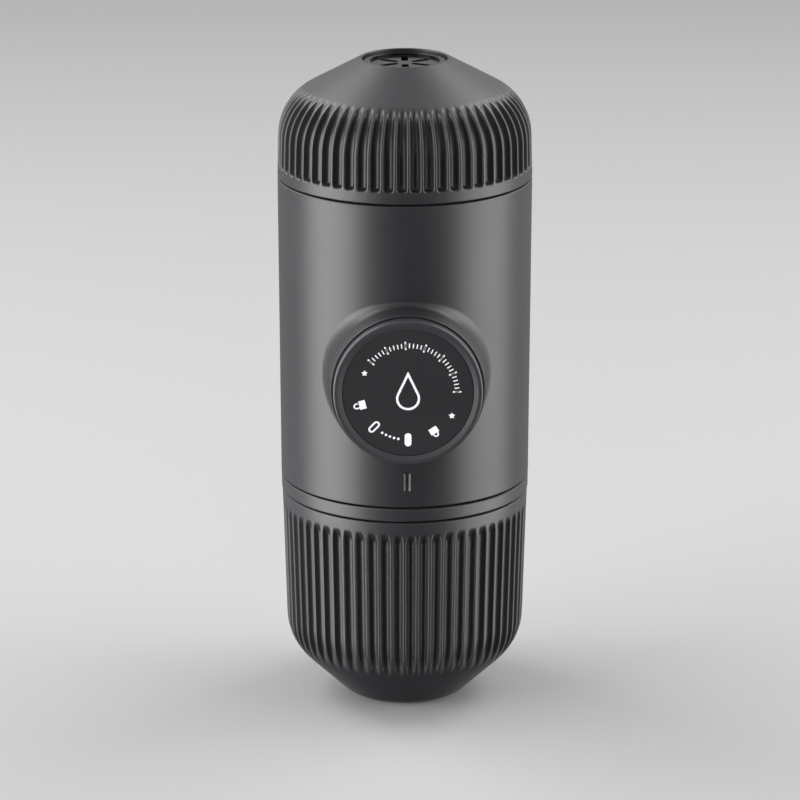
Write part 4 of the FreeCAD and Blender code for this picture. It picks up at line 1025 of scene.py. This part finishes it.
def thread_ridge(wall, crest, middle):
    """One start of the coarse inner thread, in millimetres.

    It climbs inside a wall's radius, and its crest sinks into the wall at both ends.
    """
    climb, steps, run_out, root = 3.7, 30, 0.08, wall + 0.05
    half_root, half_crest = 0.9, 0.5
    sections = []
    for step in range(steps + 1):
        part = step / steps
        full = min(1.0, part / run_out, (1 - part) / run_out)
        turn = math.tau * part * climb / THREAD_LEAD
        tip = wall + (crest - wall) * full
        height = middle + climb * part
        profile = ((root, -half_root), (tip, -half_crest), (tip, half_crest), (root, half_root))
        sections.append([Vector((*around(out, turn), height + up)) for out, up in profile])
    return solid_mesh("thread_ridge", sections)


class MAKER_OT_dome(Operator):
    """Turns the ribbed dome that holds the basket and the spout"""

    bl_idname = "maker.dome"
    bl_label = "Dome"

    def execute(self, context):
        # Up the outside from the rim, over the top to the spout, and down the inside
        line = rounded((
            (27.0, 129.75, 0.4), (30.35, 129.75, 0.4), (29.9, 147.6, 13.0), (10.7, 158.0, 0.4),
            (10.15, 158.0, 0.2), (10.15, 153.3), (12.5, 153.3), (20.6, 148.4), (22.0, 148.4),
            (22.0, 142.0), (27.0, 142.0),
        ))
        start, reach = run_to_height(line, 132.6), 19.8
        grip = settings("grip")
        shell = ribbed_shell(
            "ribbed_dome", line, start, start + reach, fades=(0.9, 4.5), squarer=0.0,
            size=(grip.dome_width, grip.dome_depth), turn=grip.dome_turn,
            material="satin_ribbed_shell",
        )
        threads = shape_with(
            thread_ridge(wall=27.0, crest=25.6, middle=130.85), shared(turned_copies), "threads",
            copies=THREAD_STARTS, step=math.tau / THREAD_STARTS,
            material=bpy.data.materials["satin_ribbed_shell"],
        )
        dome = joined("ribbed_dome", [shell, threads])
        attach(dome, "head")
        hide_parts("outlet_head")
        return {"FINISHED"}


class MAKER_OT_cup(Operator):
    """Turns the ribbed drinking cup"""

    bl_idname = "maker.cup"
    bl_label = "Cup"

    def execute(self, context):
        # Out from the middle of the foot, up the outside, over the rim and down the inside
        line = rounded((
            (0, 0), (14.4, 0, 5.0), (28.75, 13.9, 14.0), (29.78, 51.9, 0.4), (26.7, 51.9, 0.4),
            (26.7, 14.98, 11.8), (14.34, 3.0, 5.0), (0, 3.0),
        ))
        grip = settings("grip")
        cup = ribbed_shell(
            "ribbed_cup", line, run_to_height(line, 12.2), run_to_height(line, 48.5),
            fades=(5.5, 2.6), squarer=2.0, size=(grip.cup_width, grip.cup_depth),
            turn=grip.cup_turn, material="satin_ribbed_cup",
        )
        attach(cup, "drinking_cup")
        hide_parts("cup")
        return {"FINISHED"}


# Marks on the knob's face


def pill(long, wide):
    """A pill's outline, upright about the origin."""
    half = (long - wide) / 2
    return arc_points((0, half), wide / 2, 0, 180) + arc_points((0, -half), wide / 2, 180, 360)


def star(radius):
    """A small five pointed star."""
    reach = (radius, radius * 0.55)
    return [around(reach[point % 2], math.radians(90 + 36 * point)) for point in range(10)]


def drop(tall, wide):
    """A plain drop's outline: round below and pointed above."""
    radius = wide / 2
    top = tall - radius
    meet = math.degrees(math.acos(radius / top))
    return arc_points((0, 0), radius, 90 + meet, 450 - meet, 40) + [(0, top)]


def padlock(line, is_open):
    """A padlock's outlines: its body and bow in one, and its window if it is shut."""
    half, foot, top, bow, free_end = 1.05, -1.2, 0.35, 0.72, 0.55
    middle = (0, free_end + (0.45 if is_open else 0.0))
    outer = arc_points(middle, bow, 0, 180)
    inner = [(line - bow, top)] + arc_points(middle, bow - line, 180, 0)
    body = [(-half, foot), (half, foot), (half, top)]
    shoulder = [(-bow, top), (-half, top)]
    if is_open:
        return [body + inner + [(bow - line, free_end), (bow, free_end)] + outer + shoulder]
    return [body + [(bow, top)] + outer + shoulder, inner + [(bow - line, top)]]


def print_of(loops, thickness, turn=0.0, place=(0, 0)):
    """A thin flat solid from outlines in millimetres, turned and moved in the face's plane."""
    curve = bpy.data.curves.new("print", "CURVE")
    curve.dimensions = "2D"
    curve.fill_mode = "BOTH"
    curve.extrude = thickness / 2
    for loop in loops:
        spline = curve.splines.new("POLY")
        spline.points.add(len(loop) - 1)
        for point, (across, up) in zip(spline.points, loop):
            point.co = (across * MM, up * MM, 0, 1)
        spline.use_cyclic_u = True
    holder = bpy.data.objects.new("print", curve)
    mesh = bpy.data.meshes.new_from_object(holder)
    bpy.data.objects.remove(holder)
    moved = Matrix.Translation((place[0] * MM, place[1] * MM, thickness / 2))
    mesh.transform(moved @ Matrix.Rotation(turn, 4, "Z"))
    return mesh


class MAKER_OT_knob_marks(Operator):
    """Prints the marks on the knob's face"""

    bl_idname = "maker.knob_marks"
    bl_label = "Knob marks"

    def execute(self, context):
        marks = settings("marks")
        thin, ring, line = marks.thickness, marks.ring / MM, marks.line / MM
        long, wide = marks.pill_length / MM, marks.pill_width / MM

        def on_ring(degrees):
            """The turn and the place of a shape that stands outwards on the ring."""
            turn = math.radians(degrees)
            return {"turn": turn - math.pi / 2, "place": around(ring, turn)}

        # The drop's inner outline is shorter by more than it is narrower, so that its line
        # is even up to the point
        hollow_pill = [pill(long, wide), pill(long - 2 * line, wide - 2 * line)]
        hollow_drop = [drop(9.4, 5.6), drop(9.4 - 4.4 * line, 5.6 - 2.6 * line)]
        pieces = []
        # The locked and the unlocked mark, the stars, a shut and an open padlock, the drop
        for shape in (
            print_of([pill(long, wide)], thin, **on_ring(-90)),
            print_of(hollow_pill, thin, **on_ring(-133.8)),
            print_of([star(0.75)], thin, place=(-10.1, 4.8)),
            print_of([star(0.8)], thin, place=(10.2, -5.6)),
            print_of(padlock(0.36, is_open=False), thin, **on_ring(-57)),
            print_of(padlock(0.36, is_open=True), thin, **on_ring(-165)),
            print_of(hollow_drop, thin, place=(0, -1.4)),
        ):
            dress(shape, "white_ink")
            pieces.append(new_piece("mark", shape))
        dot = arc_points((0, 0), 0.3, 0, 345, 23)
        tick = [(-0.13, -0.55), (0.13, -0.55), (0.13, 0.55), (-0.13, 0.55)]
        long_tick = [(across * 1.4, up * 1.8) for across, up in tick]
        # Each row's shape, its copies, its first angle and the step to the next: every
        # fifth tick is a long one
        for shape, copies, first, step in (
            (dot, marks.dots, -101.5, -5.1), (tick, marks.ticks, 139, -4.6),
            (long_tick, (marks.ticks + 4) // 5, 139, -4.6 * 5),
        ):
            pieces.append(shape_with(
                print_of([shape], thin, **on_ring(first)), shared(turned_copies), "row",
                copies=copies, step=math.radians(step), material=bpy.data.materials["white_ink"],
            ))
        printed = joined("knob_marks", pieces)
        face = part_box("knob_face")[0].y
        printed.data.transform(
            Matrix.Translation((0, face, KNOB_HEIGHT * MM)) @ Matrix.Rotation(math.pi / 2, 4, "X")
        )
        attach(printed, "pump_knob")
        return {"FINISHED"}


# The stage


# The lamps: their name, place, target, width and height in metres, and power in watts
SOFTBOXES = (
    ("left_softbox", (-0.81, -0.30, 0.08), (0, 0, 0.08), (0.80, 1.10), 23.8),
    ("right_softbox", (0.83, -0.20, 0.08), (0, 0, 0.08), (0.80, 1.10), 16.5),
    ("left_rear_softbox", (-0.62, 0.30, 0.80), (0, 0, 0.12), (0.7, 0.5), 9.0),
    ("right_rear_softbox", (0.62, 0.30, 0.80), (0, 0, 0.12), (0.7, 0.5), 7.5),
)


class MAKER_OT_stage(Operator):
    """Lays the floor, hangs the lamps and sets up the camera"""

    bl_idname = "maker.stage"
    bl_label = "Stage"

    def execute(self, context):
        stage = settings("stage")
        new_material(
            "floor", Base_Color=(*stage.floor, 1), Roughness=0.9, Specular_IOR_Level=0.2
        )
        half = 6.0
        corners = [(-half, -half, 0), (half, -half, 0), (half, half, 0), (-half, half, 0)]
        floor_mesh = bpy.data.meshes.new("floor")
        floor_mesh.from_pydata(corners, [], [(0, 1, 2, 3)])
        dress(floor_mesh, "floor")
        floor = new_piece("floor", floor_mesh)
        # The plastic mirrors the lamps and not the floor, and lamps that reach below the
        # floor aren't cut off by it
        floor.visible_glossy = False
        floor.visible_shadow = False
        for lamp in SOFTBOXES:
            softbox(*lamp)
        context.scene.world = studio_world()
        camera_data = bpy.data.cameras.new("camera")
        camera_data.lens = stage.lens
        camera_data.sensor_width = 36
        camera_data.clip_end = 50
        camera = bpy.data.objects.new("camera", camera_data)
        context.collection.objects.link(camera)
        across = Vector((math.cos(stage.azimuth), math.sin(stage.azimuth), 0))
        back = Vector((math.sin(stage.azimuth), -math.cos(stage.azimuth), 0))
        camera.location = back * stage.distance + Vector((0, 0, stage.height))
        target = Vector((0, 0, stage.aim)) - across * stage.side_step
        camera.rotation_euler = (target - camera.location).to_track_quat("-Z", "Y").to_euler()
        context.scene.camera = camera
        context.scene.view_settings.view_transform = "Standard"
        return {"FINISHED"}


def softbox(name, place, target, size, power):
    """An area lamp that faces a point."""
    lamp = bpy.data.lights.new(name, "AREA")
    lamp.shape = "RECTANGLE"
    lamp.size, lamp.size_y = size
    lamp.energy = power
    holder = bpy.data.objects.new(name, lamp)
    holder.location = place
    turned = (Vector(target) - Vector(place)).to_track_quat("-Z", "Y")
    holder.rotation_euler = turned.to_euler()
    bpy.context.collection.objects.link(holder)


def studio_world():
    """A pale ceiling and a pale wall behind, over a dim ground."""
    world = bpy.data.worlds.new("studio")
    world.use_nodes = True
    tree = world.node_tree
    where = add_node(tree, "ShaderNodeTexCoord")["Generated"]
    parts = add_node(tree, "ShaderNodeSeparateXYZ", {0: where})
    ceiling = remap(tree, parts["Z"], (-0.15, 0.25, 0.05, 0.49))
    wall = remap(tree, parts["Y"], (0.1, 0.6, 0.0, 0.6))
    far_wall = remap(tree, parts["Y"], (0.75, 0.97, 0.0, 0.4))
    above_ground = remap(tree, parts["Z"], (-0.8, -0.45, 0.0, 1.0))
    behind = calculate(tree, "MULTIPLY", calculate(tree, "SUBTRACT", wall, far_wall), above_ground)
    strength = calculate(tree, "ADD", ceiling, behind)
    background = tree.nodes["Background"]
    background.inputs["Color"].default_value = (0.98, 0.99, 1.0, 1)
    tree.links.new(strength, background.inputs["Strength"])
    return world


# The add-on


class MAKER_PT_panel(Panel):
    """Lists the maker's settings and steps"""

    bl_idname = "MAKER_PT_panel"
    bl_label = "Espresso Maker"
    bl_space_type = "VIEW_3D"
    bl_region_type = "UI"
    bl_category = "Maker"

    def draw(self, context):
        for group in SETTINGS:
            box = self.layout.box()
            box.label(text=group.capitalize())
            held = settings(group)
            for name in held.bl_rna.properties.keys():
                if name not in ("rna_type", "name"):
                    box.prop(held, name)
        for operator in OPERATORS:
            self.layout.operator(operator.bl_idname)


SETTINGS = {
    "grip": MakerGrip, "marks": MakerMarks, "finishes": MakerFinishes, "stage": MakerStage,
}
OPERATORS = (
    MAKER_OT_stage, MAKER_OT_materials, MAKER_OT_fixed_parts, MAKER_OT_housing,
    MAKER_OT_valve_springs, MAKER_OT_pointer, MAKER_OT_dome, MAKER_OT_cup, MAKER_OT_knob_marks,
)
CLASSES = (*SETTINGS.values(), *OPERATORS, MAKER_PT_panel)


def register():
    """Adds the classes and the scene's settings."""
    for part in CLASSES:
        bpy.utils.register_class(part)
    for name, group in SETTINGS.items():
        setattr(bpy.types.Scene, "maker_" + name, PointerProperty(type=group))


def unregister():
    """Takes them away again."""
    for name in SETTINGS:
        delattr(bpy.types.Scene, "maker_" + name)
    for part in reversed(CLASSES):
        bpy.utils.unregister_class(part)


def main():
    """Dresses the frame."""
    register()
    bpy.ops.maker.stage()
    bpy.ops.maker.materials()
    bpy.ops.maker.fixed_parts()
    bpy.ops.maker.housing()
    bpy.ops.maker.valve_springs()
    bpy.ops.maker.pointer()
    bpy.ops.maker.dome()
    bpy.ops.maker.cup()
    bpy.ops.maker.knob_marks()


if __name__ == "__main__":
    main()
